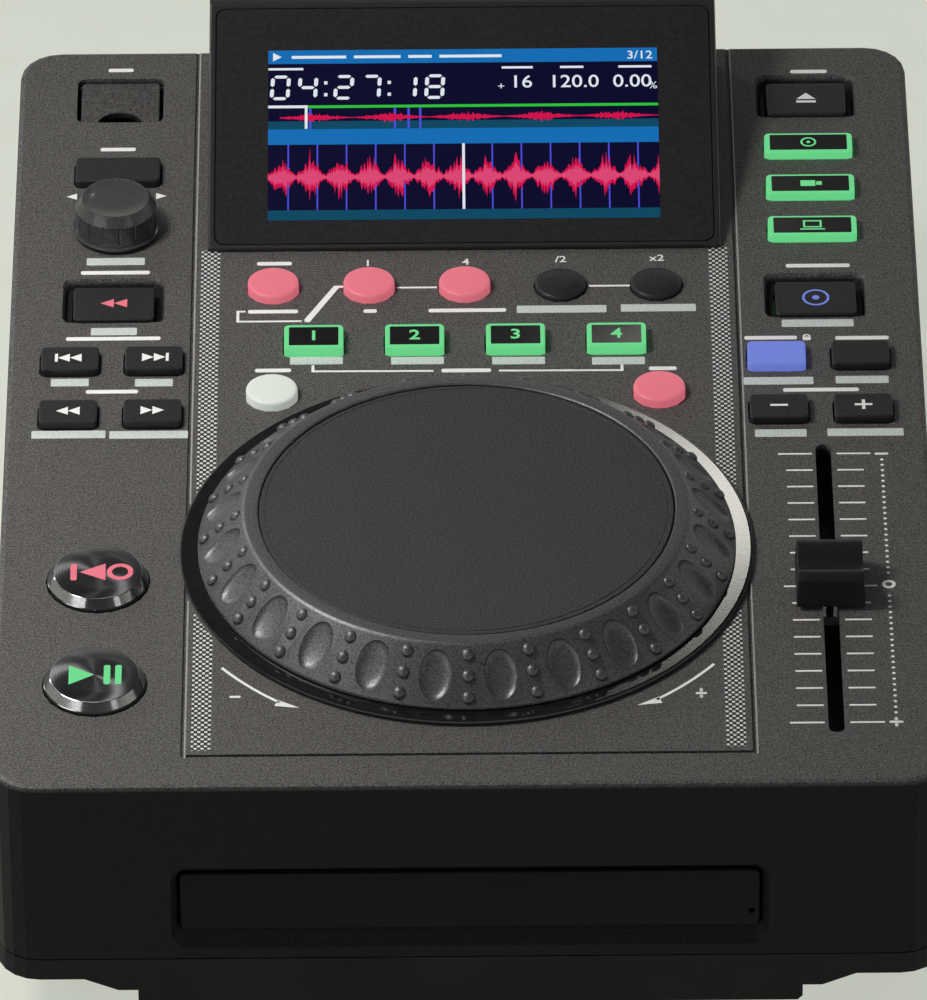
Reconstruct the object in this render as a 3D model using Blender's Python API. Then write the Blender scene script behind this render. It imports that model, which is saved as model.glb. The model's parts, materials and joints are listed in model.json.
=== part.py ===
"""Tabletop disc player for DJs: case, jog wheel, display, keys, pitch fader and disc drive.

Metres, +Z up, X to the right and Y to the back. The origin is on the table below the case's middle.
Each moving piece has its origin on its joint's axis.
"""

import math

import bmesh
import bpy
from mathutils import Matrix

# Gaps and cuts
SEAT_GAP = 0.0003
RUNNING_GAP = 0.0005
OVERRUN = 0.0020
MERGE_DISTANCE = 0.000001

# Sides given to round shapes
BAR_STEPS = 8
SMALL_STEPS = 12
KEY_STEPS = 14
SHAFT_STEPS = 16
LARGE_STEPS = 20
RING_STEPS = 48
JOG_STEPS = 72
NOTCH_STEPS = 10
SADDLE_STEPS = 8
BOWL_STEPS = 10
BUMP_STEPS = 6
SHARP_ANGLE = math.radians(35)

# Case
WALL = 0.0025
DECK_THICKNESS = 0.0025
CORNER_RADIUS = 0.0100
EDGE_ROUND = 0.0012
SKIRT_HEIGHT = 0.0500
LOWER_SHELL_HEIGHT = 0.0060
FOOT_STAND = 0.0220
SCREW_POST_RADIUS = 0.0035
SCREW_POST_INSET = 0.0105
GROOVE_WIDTH = 0.0009
GROOVE_DEPTH = 0.0006
GROOVE_FRONT = 0.0110
GROOVE_FROM_JOG_EDGE = 0.0016

# Jog wheel
JOG_RING_WIDTH = 0.0041
JOG_BASE_LIP = 0.0010
JOG_WELL_INSET = 0.0069
JOG_WELL_DEPTH = 0.0060
JOG_DISH_WALL = 0.0028
JOG_SLOPE_WIDTH = 0.0106
JOG_PLATE_RADIUS = 0.0483
JOG_PLATE_BORDER = 0.0039
JOG_PLATE_THICKNESS = 0.0015
JOG_PLATE_SINK = 0.0003
JOG_HEIGHT = 0.0125
JOG_RIM_WALL = 0.0030
JOG_EDGE = 0.0006
JOG_HUB_RADIUS = 0.0100
JOG_AXLE_RADIUS = 0.0050
JOG_FLANGE_RADIUS = 0.0160
JOG_FLANGE_HEIGHT = 0.0015
JOG_SPINDLE_RADIUS = 0.0120
JOG_SPINDLE_TAIL = 0.0020
DIMPLE_COUNT = 24
DIMPLE_WIDTH = 0.0075
DIMPLE_LENGTH = 0.0118
DIMPLE_DEPTH = 0.0011
BOWL_FLOOR_SHARE = 0.6
BUMPS_PER_COLUMN = 3
BUMP_RADIUS = 0.0015
BUMP_PITCH = 0.0042
BUMP_HEIGHT = 0.0006
BUMP_TOP_SHARE = 0.6

# Deck layout, from the jog wheel outwards
JOG_FRONT_MARGIN = 0.0216
SIDE_COLUMN_WIDTH = 0.0421
COLUMN_INSET = 0.0248
TRANSPORT_INSET = 0.0232
HOT_ROW_BEHIND_JOG = 0.0151
LOOP_ROW_BEHIND_HOT = 0.0228
DISPLAY_BEHIND_LOOP = 0.0152
SHIFT_ROW_BEHIND_CENTER = 0.0615
SHIFT_X = 0.0460
HOT_KEY_PITCH = 0.0241
LOOP_KEY_PITCH = 0.0230
PAIR_PITCH = 0.0200
PLAY_FROM_FRONT = 0.0384
CUE_BEHIND_PLAY = 0.0391
SEARCH_BEHIND_CUE = 0.0643
TRACK_BEHIND_SEARCH = 0.0213
POCKET_ROW_BEHIND_TRACK = 0.0259
KNOB_BEHIND_POCKET_ROW = 0.0290
BACK_KEY_BEHIND_KNOB = 0.0231
STICK_WELL_BEHIND_BACK_KEY = 0.0318
SOURCE_KEYS_BEHIND_POCKET_ROW = 0.0261
SOURCE_KEY_PITCH = 0.0174
EJECT_POCKET_BEHIND_SOURCE = 0.0226

# Keys
KEY_GAP = 0.0004
KEY_FLANGE = 0.0010
KEY_FLANGE_HEIGHT = 0.0012
KEY_CORNER = 0.0013
KEY_BEVEL = 0.0005
KEY_TRAVEL = 0.0008
KEY_SWITCH_SPARE = 0.0003
KEY_STAND = 0.0020
LIT_KEY_STAND = 0.0024
TRANSPORT_STAND = 0.0028
POCKET_KEY_STAND = 0.0032
PAIR_KEY_WIDTH = 0.0138
PAIR_KEY_DEPTH = 0.0094
BACK_KEY_WIDTH = 0.0206
BACK_KEY_DEPTH = 0.0101
SOURCE_KEY_WIDTH = 0.0214
SOURCE_KEY_DEPTH = 0.0081
POCKET_KEY_WIDTH = 0.0194
POCKET_KEY_DEPTH = 0.0132
HOT_KEY_WIDTH = 0.0141
HOT_KEY_DEPTH = 0.0096
ROUND_KEY_DIAMETER = 0.0123
TRANSPORT_DIAMETER = 0.0236
TRANSPORT_RIM = 0.0014
TRANSPORT_DISH = 0.0003

# Sloping pockets round three keys, and the stick well
POCKET_WIDTH = 0.0247
POCKET_DEPTH = 0.0181
POCKET_SINK = 0.0024
POCKET_SLOPE = 0.0012
POCKET_CORNER = 0.0020
POCKET_FLOOR = 0.0022
POCKET_KEY_FORWARD = 0.0022
STICK_WELL_WIDTH = 0.0212
STICK_WELL_DEPTH = 0.0187
STICK_WELL_SINK = 0.0112
STICK_WELL_CORNER = 0.0018
STICK_DOOR_SINK = 0.0008
STICK_DOOR_SIDE_GAP = 0.0010
STICK_DOOR_BACK_GAP = 0.0007
STICK_DOOR_CORNER = 0.0013
STICK_DOOR_THICKNESS = 0.0016
STICK_DOOR_HINGE_RADIUS = 0.0010
STICK_PIN_RADIUS = 0.0005
STICK_PIN_REACH = 0.0008
STICK_NOTCH_WIDTH = 0.0111
STICK_NOTCH_DEPTH = 0.0050
STICK_SOCKET_WIDTH = 0.0143
STICK_SOCKET_DEPTH = 0.0070
STICK_SOCKET_HEIGHT = 0.0130
STICK_SOCKET_WALL = 0.0006
STICK_SOCKET_BELOW_DECK = 0.0085
STICK_TONGUE_WIDTH = 0.0110
STICK_TONGUE_DEPTH = 0.0018

# Browse knob
KNOB_RADIUS = 0.0100
KNOB_SKIRT_RADIUS = 0.0106
KNOB_SKIRT_HEIGHT = 0.0012
KNOB_TOP_RADIUS = 0.0082
KNOB_HEIGHT = 0.0086
KNOB_FLUTES = 20
KNOB_FLUTE_DEPTH = 0.0005
KNOB_CHAMFER_HEIGHT = 0.0016
KNOB_CROWN = 0.0030
KNOB_PUSH = 0.0008
ENCODER_SHAFT_RADIUS = 0.0030
ENCODER_BODY_SIDE = 0.0120
ENCODER_BODY_HEIGHT = 0.0068
ENCODER_FLOOR = 0.0012

# Pitch fader
FADER_CENTER_FROM_FRONT = 0.0735
FADER_TRAVEL = 0.0500
FADER_SLOT_WIDTH = 0.0037
FADER_SLOT_LENGTH = 0.1104
FADER_CAP_WIDTH = 0.0160
FADER_CAP_LENGTH = 0.0186
FADER_CAP_HEIGHT = 0.0074
FADER_CAP_SADDLE = 0.0028
FADER_CAP_FLAT = 0.0026
FADER_CAP_SKIRT = 0.0022
FADER_CAP_CLEARANCE = 0.0010
FADER_CAP_CROWN = 0.00035
FADER_CAP_EDGE = 0.0007
FADER_CAP_SIDE_SHARE = 0.88
FADER_LEVER_THICKNESS = 0.0016
FADER_LEVER_LENGTH = 0.0076
FADER_LEVER_REACH = 0.0048
FADER_SLIDER_WIDTH = 0.0044
FADER_SLIDER_LENGTH = 0.0110
FADER_SLIDER_HEIGHT = 0.0045
FADER_BODY_WIDTH = 0.0090
FADER_BODY_LENGTH = 0.1236
FADER_BODY_FLOOR = 0.0016

# Control board
BOARD_BELOW_DECK = 0.0140
BOARD_THICKNESS = 0.0016
BOARD_INSET = 0.0020
SWITCH_SIDE = 0.0060
SWITCH_BODY_HEIGHT = 0.0035
SWITCH_PIN_SIDE = 0.0032

# Display
DISPLAY_TILT = math.radians(15)
DISPLAY_LENGTH = 0.0773
DISPLAY_WIDTH = 0.1240
DISPLAY_TOE = 0.0008
DISPLAY_BACK_LAND = 0.0030
DISPLAY_COLLAR_INSET = 0.0040
DISPLAY_COLLAR_FRONT = 0.0005
DISPLAY_COLLAR_DEPTH = 0.0040
DISPLAY_BACK_MARGIN = 0.0078
WINDOW_WIDTH = 0.1204
WINDOW_BORDER = 0.0014
WINDOW_THICKNESS = 0.0010
WINDOW_CORNER = 0.0024
SCREEN_WIDTH = 0.0990
SCREEN_LENGTH = 0.0580
SCREEN_THICKNESS = 0.0035
SCREEN_FROM_FRONT = 0.0068

# Disc tray and drive
DISC_WELL_RADIUS = 0.0608
SMALL_DISC_RADIUS = 0.0410
DISC_WELL_SINK = 0.0046
SMALL_DISC_SINK = 0.0010
TRAY_RIM = 0.0047
TRAY_THICKNESS = 0.0080
TRAY_LENGTH = 0.1500
TRAY_FRONT_RIM = 0.0060
TRAY_SLOT_WIDTH = 0.0460
TRAY_SLOT_FORWARD = 0.0200
TRAY_SLOT_BACK = 0.0560
TRAY_LUG_WIDTH = 0.0040
TRAY_LUG_LENGTH = 0.0180
DOOR_WIDTH = 0.1330
DOOR_HEIGHT = 0.0163
DOOR_THICKNESS = 0.0030
DOOR_SET_BACK = 0.0014
DOOR_CENTER_BELOW_DECK = 0.03465
DOOR_CORNER = 0.0016
MOUTH_WIDTH = 0.1370
MOUTH_HEIGHT = 0.0236
MOUTH_CENTER_BELOW_DECK = 0.0352
MOUTH_SLOPE_DEPTH = 0.0024
MOUTH_CORNER = 0.0042
MOUTH_SURROUND = 0.0030
MOUTH_SURROUND_DEPTH = 0.0058
DRIVE_WALL = 0.0020
DRIVE_BEHIND_TRAY = 0.0074
DRIVE_LEDGE_WIDTH = 0.0070
DRIVE_LEDGE_THICKNESS = 0.0018
DRIVE_SIDE_GAP = 0.0020
MOTOR_RADIUS = 0.0120
MOTOR_SHAFT_RADIUS = 0.0015
MOTOR_BORE_DEPTH = 0.0060
TURNTABLE_RADIUS = 0.0165
TURNTABLE_THICKNESS = 0.0030
TURNTABLE_CONE_RADIUS = 0.0074
TURNTABLE_CONE_HEIGHT = 0.0022
TURNTABLE_BELOW_TRAY = 0.0010
SLED_WIDTH = 0.0400
SLED_LENGTH = 0.0240
SLED_THICKNESS = 0.0060
SLED_BEHIND_TURNTABLE = 0.0020
SLED_LENS_RADIUS = 0.0040
SLED_LENS_HEIGHT = 0.0020
SLED_NOTCH_DEPTH = 0.0030
RAIL_WIDTH = 0.0030
RAIL_SPACING = 0.0300

# Lower case and feet
BELLY_STEP_DROP = 0.0033
BELLY_DROP = 0.0044
BELLY_FLAT_RUN = 0.0045
BELLY_SLOPE_RUN = 0.0078
FOOT_RADIUS = 0.0125
FOOT_BASE_RADIUS = 0.0115
FOOT_PAD_RADIUS = 0.0140
FOOT_PAD_DROP = 0.0048
FOOT_SIDE_INSET = 0.0170
FOOT_END_INSET = 0.0440
FOOT_SPIGOT_RADIUS = 0.0040
FOOT_SPIGOT_HEIGHT = 0.0060
FOOT_EDGE = 0.0010

# Rear connectors
BAY_WIDTH = 0.1700
BAY_HEIGHT = 0.0240
BAY_DEPTH = 0.0100
BAY_BELOW_DECK = 0.0330
BAY_FLANGE = 0.0030
BAY_SHEET = 0.0015
INLET_X = -0.0620
INLET_WIDTH = 0.0230
INLET_HEIGHT = 0.0160
INLET_DEPTH = 0.0200
INLET_CAVITY_WIDTH = 0.0166
INLET_CAVITY_HEIGHT = 0.0086
INLET_CAVITY_DEPTH = 0.0120
INLET_PIN_RADIUS = 0.0012
INLET_PIN_SPACING = 0.0086
INLET_PIN_LENGTH = 0.0090
INLET_LIP = 0.0030
ROCKER_X = -0.0300
ROCKER_WIDTH = 0.0100
ROCKER_HEIGHT = 0.0180
ROCKER_STAND = 0.0022
ROCKER_DEPTH = 0.0040
ROCKER_SWING = math.radians(9)
USB_X = 0.0130
USB_WIDTH = 0.0120
USB_HEIGHT = 0.0108
USB_DEPTH = 0.0160
USB_CHAMFER = 0.0020
USB_WALL = 0.0008
USB_TONGUE_WIDTH = 0.0056
USB_TONGUE_HEIGHT = 0.0032
USB_STAND = 0.0040
USB_BORE_DEPTH = 0.0088
AUDIO_X = 0.0550
AUDIO_PITCH = 0.0140
AUDIO_BARREL_RADIUS = 0.0042
AUDIO_BARREL_LENGTH = 0.0080
AUDIO_BORE_RADIUS = 0.0018
AUDIO_BORE_DEPTH = 0.0070
AUDIO_BODY_HEIGHT = 0.0120
AUDIO_BODY_MARGIN = 0.0050
AUDIO_BODY_DEPTH = 0.0110

# Sizes that follow from those above
JOG_TOP_RADIUS = JOG_PLATE_RADIUS + JOG_PLATE_BORDER
JOG_RIM_RADIUS = JOG_TOP_RADIUS + JOG_SLOPE_WIDTH
JOG_BASE_RADIUS = JOG_RIM_RADIUS + JOG_RING_WIDTH
JOG_WELL_RADIUS = JOG_BASE_RADIUS - JOG_WELL_INSET
CASE_WIDTH = 2 * (JOG_BASE_RADIUS + SIDE_COLUMN_WIDTH)
JOG_Y_FROM_FRONT = JOG_FRONT_MARGIN + JOG_BASE_RADIUS
HOT_ROW = JOG_Y_FROM_FRONT + JOG_BASE_RADIUS + HOT_ROW_BEHIND_JOG
LOOP_ROW = HOT_ROW + LOOP_ROW_BEHIND_HOT
DISPLAY_FRONT = LOOP_ROW + DISPLAY_BEHIND_LOOP
DISPLAY_RUN = DISPLAY_LENGTH * math.cos(DISPLAY_TILT)
DISPLAY_RISE = DISPLAY_LENGTH * math.sin(DISPLAY_TILT)
CASE_DEPTH = DISPLAY_FRONT + DISPLAY_RUN + DISPLAY_BACK_LAND + DISPLAY_BACK_MARGIN
FRONT = -CASE_DEPTH / 2
SEAM_Z = FOOT_STAND + LOWER_SHELL_HEIGHT
DECK_Z = SEAM_Z + SKIRT_HEIGHT
DECK_UNDERSIDE = DECK_Z - DECK_THICKNESS
BOARD_TOP = DECK_Z - BOARD_BELOW_DECK

JOG_Y = FRONT + JOG_Y_FROM_FRONT
COLUMN_X = CASE_WIDTH / 2 - COLUMN_INSET
TRANSPORT_X = CASE_WIDTH / 2 - TRANSPORT_INSET
PLAY_Y = FRONT + PLAY_FROM_FRONT
CUE_Y = PLAY_Y + CUE_BEHIND_PLAY
SEARCH_Y = CUE_Y + SEARCH_BEHIND_CUE
TRACK_Y = SEARCH_Y + TRACK_BEHIND_SEARCH
POCKET_ROW_Y = TRACK_Y + POCKET_ROW_BEHIND_TRACK
KNOB_Y = POCKET_ROW_Y + KNOB_BEHIND_POCKET_ROW
BACK_KEY_Y = KNOB_Y + BACK_KEY_BEHIND_KNOB
STICK_WELL_Y = BACK_KEY_Y + STICK_WELL_BEHIND_BACK_KEY
SOURCE_Y = POCKET_ROW_Y + SOURCE_KEYS_BEHIND_POCKET_ROW
EJECT_POCKET_Y = SOURCE_Y + 2 * SOURCE_KEY_PITCH + EJECT_POCKET_BEHIND_SOURCE
FADER_Y = FRONT + FADER_CENTER_FROM_FRONT
FADER_X = COLUMN_X
POCKET_BLOCK_HEIGHT = POCKET_SINK + POCKET_FLOOR
POCKETS = ((-COLUMN_X, POCKET_ROW_Y), (COLUMN_X, POCKET_ROW_Y), (COLUMN_X, EJECT_POCKET_Y))

STICK_WELL_FLOOR = DECK_Z - STICK_WELL_SINK
STICK_DOOR_TOP = DECK_Z - STICK_DOOR_SINK
STICK_HINGE_Y = STICK_WELL_Y + STICK_WELL_DEPTH / 2 - STICK_DOOR_HINGE_RADIUS - STICK_DOOR_BACK_GAP
STICK_HINGE_Z = STICK_DOOR_TOP - STICK_DOOR_HINGE_RADIUS

TRAY_WIDTH = 2 * (DISC_WELL_RADIUS + TRAY_RIM)
DRIVE_INNER_WIDTH = TRAY_WIDTH + 2 * (TRAY_LUG_WIDTH + RUNNING_GAP)
DRIVE_WIDTH = DRIVE_INNER_WIDTH + 2 * DRIVE_WALL
BELLY_HALF_WIDTH = DRIVE_WIDTH / 2 + DRIVE_SIDE_GAP + WALL
BELLY_BOTTOM = FOOT_STAND - BELLY_STEP_DROP - BELLY_DROP
DRIVE_BOTTOM = BELLY_BOTTOM + WALL + SEAT_GAP
TRAY_FRONT = FRONT + DOOR_SET_BACK + DOOR_THICKNESS + SEAT_GAP
TRAY_CENTER_Z = DECK_Z - DOOR_CENTER_BELOW_DECK
TRAY_BOTTOM = TRAY_CENTER_Z - TRAY_THICKNESS / 2
TRAY_TOP = TRAY_BOTTOM + TRAY_THICKNESS
DISC_Y = TRAY_FRONT + TRAY_FRONT_RIM + DISC_WELL_RADIUS
DRIVE_FRONT = FRONT + MOUTH_SURROUND_DEPTH + SEAT_GAP
DRIVE_TOP = TRAY_TOP + RUNNING_GAP + DRIVE_LEDGE_THICKNESS
TURNTABLE_TOP = TRAY_BOTTOM - TURNTABLE_BELOW_TRAY - TURNTABLE_CONE_HEIGHT
MOTOR_TOP = TURNTABLE_TOP - TURNTABLE_THICKNESS - SEAT_GAP
SLED_Y = DISC_Y + TURNTABLE_RADIUS + SLED_BEHIND_TURNTABLE + SLED_LENGTH / 2
SLED_TOP = TRAY_BOTTOM - TURNTABLE_BELOW_TRAY - SLED_LENS_HEIGHT
SLED_BOTTOM = SLED_TOP - SLED_THICKNESS
RAIL_TOP = SLED_BOTTOM + SLED_NOTCH_DEPTH - SEAT_GAP

FOOT_X = CASE_WIDTH / 2 - FOOT_SIDE_INSET
FOOT_Y = CASE_DEPTH / 2 - FOOT_END_INSET
FOOT_TOP = FOOT_STAND - FOOT_PAD_DROP - SEAT_GAP

BAY_Z = DECK_Z - BAY_BELOW_DECK
BAY_MOUTH_Y = CASE_DEPTH / 2
BAY_FLOOR_Y = BAY_MOUTH_Y - BAY_DEPTH

BLACK = (0.020, 0.020, 0.022)
CHARCOAL = (0.060, 0.060, 0.063)


def clear_scene():
    for obj in list(bpy.data.objects):
        bpy.data.objects.remove(obj, do_unlink=True)


def finish(name, color, roughness, metallic=0.0, emission=0.0):
    """A Principled material in one colour."""
    material = bpy.data.materials.new(name)
    material.use_nodes = True
    shader = material.node_tree.nodes["Principled BSDF"]
    shader.inputs["Base Color"].default_value = (*color, 1)
    shader.inputs["Roughness"].default_value = roughness
    shader.inputs["Metallic"].default_value = metallic
    shader.inputs["Emission Color"].default_value = (*color, 1)
    shader.inputs["Emission Strength"].default_value = emission
    return material


def circle(radius, steps):
    """Plan points of a circle, anticlockwise."""
    turns = [2 * math.pi * k / steps for k in range(steps)]
    return [(radius * math.cos(a), radius * math.sin(a)) for a in turns]


def rectangle(width, depth):
    x, y = width / 2, depth / 2
    return [(x, -y), (x, y), (-x, y), (-x, -y)]


def rounded_rectangle(width, depth, radius, steps=3):
    """Plan points of a rectangle with round corners, anticlockwise, steps points to a corner."""
    points = []
    for corner, (side_x, side_y) in enumerate(((1, 1), (-1, 1), (-1, -1), (1, -1))):
        x = side_x * (width / 2 - radius)
        y = side_y * (depth / 2 - radius)
        for k in range(steps):
            a = math.pi / 2 * (corner + k / (steps - 1))
            points.append((x + radius * math.cos(a), y + radius * math.sin(a)))
    return points


def ring(outline, z, center=(0.0, 0.0)):
    """An outline laid flat at a height."""
    return [(center[0] + x, center[1] + y, z) for x, y in outline]


def upright_ring(outline, y, center=(0.0, 0.0)):
    """An outline stood up, facing the front, at a distance from front to back."""
    return [(center[0] + x, y, center[1] + z) for x, z in outline]


def skin(bm, rings):
    """Skin rings of points, each with as many points, and cap both ends."""
    rows = [[bm.verts.new(point) for point in points] for points in rings]
    for near, far in zip(rows, rows[1:]):
        for i in range(len(near)):
            j = (i + 1) % len(near)
            bm.faces.new((near[i], near[j], far[j], far[i]))
    bm.faces.new(rows[0])
    bm.faces.new(rows[-1])


def prism(bm, outline, bottom, top, center=(0.0, 0.0)):
    skin(bm, [ring(outline, bottom, center), ring(outline, top, center)])


def upright_prism(bm, outline, front, back, center=(0.0, 0.0)):
    skin(bm, [upright_ring(outline, front, center), upright_ring(outline, back, center)])


def block(bm, low, high):
    """A box between two corners."""
    outline = rectangle(high[0] - low[0], high[1] - low[1])
    prism(bm, outline, low[2], high[2], ((low[0] + high[0]) / 2, (low[1] + high[1]) / 2))


def cross_bar(bm, radius, half_length, center=(0.0, 0.0, 0.0)):
    """A round bar from left to right through a point."""
    x, y, z = center
    section = [(y + across, z + up) for across, up in circle(radius, BAR_STEPS)]
    skin(bm, [[(x + end, *point) for point in section] for end in (-half_length, half_length)])


def turned(bm, profile, steps, bored=True, start=0.0):
    """Turn a profile of radius and height round the vertical axis. A bored one closes on itself."""
    cosine, sine = math.cos(start), math.sin(start)
    verts = [bm.verts.new((radius * cosine, radius * sine, z)) for radius, z in profile]
    ends = verts[1:] + verts[:1] if bored else verts[1:]
    edges = [bm.edges.new(pair) for pair in zip(verts, ends)]
    bmesh.ops.spin(
        bm, geom=verts + edges, cent=(0, 0, 0), axis=(0, 0, 1),
        angle=2 * math.pi, steps=steps, use_merge=True,
    )
    bmesh.ops.remove_doubles(bm, verts=bm.verts[:], dist=MERGE_DISTANCE)


def added(name, bm, material=None, location=(0.0, 0.0, 0.0), smooth=True):
    """Turn a bmesh into an object whose faces point out."""
    bmesh.ops.recalc_face_normals(bm, faces=bm.faces[:])
    mesh = bpy.data.meshes.new(name)
    bm.to_mesh(mesh)
    bm.free()
    if smooth:
        mesh.shade_smooth()
        mesh.set_sharp_from_angle(angle=SHARP_ANGLE)
    obj = bpy.data.objects.new(name, mesh)
    obj.location = location
    bpy.context.scene.collection.objects.link(obj)
    if material:
        mesh.materials.append(material)
    return obj


def combine(target, bm, operation, purpose):
    """Cut, join or trim an object with a helper mesh, given in the object's own coordinates."""
    helper = added(f"{target.name}_{purpose}", bm, location=target.location, smooth=False)
    helper.rotation_euler = target.rotation_euler
    helper.hide_render = True
    helper.display_type = "WIRE"
    modifier = target.modifiers.new(purpose, "BOOLEAN")
    modifier.operation = operation
    modifier.object = helper


def key_outline(key, grow=0.0):
    """The plan of a key, grown or shrunk all round."""
    if key["round"]:
        return circle(key["width"] / 2 + grow, LARGE_STEPS if key["width"] == TRANSPORT_DIAMETER else KEY_STEPS)
    radius = KEY_CORNER + max(grow, -KEY_CORNER / 2)
    return rounded_rectangle(key["width"] + 2 * grow, key["depth"] + 2 * grow, radius)


def key_table():
    """Every key: name, place, size, how far it stands up, and how deep its pocket floor lies."""
    plain = finish("key_black", BLACK, 0.45)
    white = finish("key_white", (0.62, 0.66, 0.68), 0.4, emission=0.4)
    red = finish("key_red", (0.78, 0.13, 0.18), 0.4, emission=0.6)
    green = finish("key_green", (0.08, 0.60, 0.20), 0.4, emission=0.5)
    violet = finish("key_violet", (0.11, 0.13, 0.55), 0.4, emission=0.4)
    shiny = finish("transport_metal", (0.10, 0.10, 0.11), 0.22, metallic=0.9)
    table = []

    def add(name, x, y, size, stand, material, pocket=0.0):
        width, depth = size if isinstance(size, tuple) else (size, size)
        table.append({
            "name": "button_" + name, "x": x, "y": y, "width": width, "depth": depth,
            "round": not isinstance(size, tuple), "stand": stand, "material": material,
            "sink": pocket,
        })

    pair = (PAIR_KEY_WIDTH, PAIR_KEY_DEPTH)
    source = (SOURCE_KEY_WIDTH, SOURCE_KEY_DEPTH)
    pocketed = (POCKET_KEY_WIDTH, POCKET_KEY_DEPTH)
    half_pair = PAIR_PITCH / 2
    add("play", -TRANSPORT_X, PLAY_Y, TRANSPORT_DIAMETER, TRANSPORT_STAND, shiny)
    add("cue", -TRANSPORT_X, CUE_Y, TRANSPORT_DIAMETER, TRANSPORT_STAND, shiny)
    add("search_back", -COLUMN_X - half_pair, SEARCH_Y, pair, KEY_STAND, plain)
    add("search_forward", -COLUMN_X + half_pair, SEARCH_Y, pair, KEY_STAND, plain)
    add("track_prev", -COLUMN_X - half_pair, TRACK_Y, pair, KEY_STAND, plain)
    add("track_next", -COLUMN_X + half_pair, TRACK_Y, pair, KEY_STAND, plain)
    add("back", -COLUMN_X, BACK_KEY_Y, (BACK_KEY_WIDTH, BACK_KEY_DEPTH), KEY_STAND, plain)
    add("bend_minus", COLUMN_X - half_pair, SEARCH_Y, pair, KEY_STAND, plain)
    add("bend_plus", COLUMN_X + half_pair, SEARCH_Y, pair, KEY_STAND, plain)
    add("key_lock", COLUMN_X - half_pair, TRACK_Y, pair, KEY_STAND, violet)
    add("tap", COLUMN_X + half_pair, TRACK_Y, pair, KEY_STAND, plain)
    for name, (x, y) in zip(("reverse", "jog_mode", "eject"), POCKETS):
        add(name, x, y - POCKET_KEY_FORWARD, pocketed, POCKET_KEY_STAND, plain, POCKET_SINK)
    for row, name in enumerate(("source_computer", "source_stick", "source_disc")):
        add(name, COLUMN_X, SOURCE_Y + row * SOURCE_KEY_PITCH, source, KEY_STAND, plain)
    loops = ("auto", "in", "out", "half", "double")
    for column, name in enumerate(loops):
        lit = column < 3
        add("loop_" + name, (column - 2) * LOOP_KEY_PITCH, FRONT + LOOP_ROW, ROUND_KEY_DIAMETER,
            LIT_KEY_STAND if lit else KEY_STAND, red if lit else plain)
    for column in range(4):
        add(f"hot_{column + 1}", (column - 1.5) * HOT_KEY_PITCH, FRONT + HOT_ROW,
            (HOT_KEY_WIDTH, HOT_KEY_DEPTH), LIT_KEY_STAND, green)
    shift_y = JOG_Y + SHIFT_ROW_BEHIND_CENTER
    add("shift", -SHIFT_X, shift_y, ROUND_KEY_DIAMETER, LIT_KEY_STAND, white)
    add("slip", SHIFT_X, shift_y, ROUND_KEY_DIAMETER, LIT_KEY_STAND, red)
    return table


def key_plate_bottom(key):
    """The underside of the deck, or of the pocket floor, that a key's flange comes up against."""
    return DECK_Z - (POCKET_BLOCK_HEIGHT if key["sink"] else DECK_THICKNESS)


def key_bottom(key):
    return key_plate_bottom(key) - SEAT_GAP - KEY_FLANGE_HEIGHT


def button(key):
    """A key cap with the flange that holds it under the deck. Its origin is on the deck, in its middle."""
    bottom = key_bottom(key) - DECK_Z
    shoulder = bottom + KEY_FLANGE_HEIGHT
    top = key["stand"] - key["sink"]
    rings = [
        ring(key_outline(key, KEY_FLANGE), bottom),
        ring(key_outline(key, KEY_FLANGE), shoulder),
        ring(key_outline(key), shoulder),
        ring(key_outline(key), top - KEY_BEVEL),
        ring(key_outline(key, -KEY_BEVEL), top),
    ]
    if key["width"] == TRANSPORT_DIAMETER:
        rings.append(ring(key_outline(key, -TRANSPORT_RIM), top))
        rings.append(ring(key_outline(key, -TRANSPORT_RIM - TRANSPORT_DISH), top - TRANSPORT_DISH))
    bm = bmesh.new()
    skin(bm, rings)
    added(key["name"], bm, key["material"], (key["x"], key["y"], DECK_Z))


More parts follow.
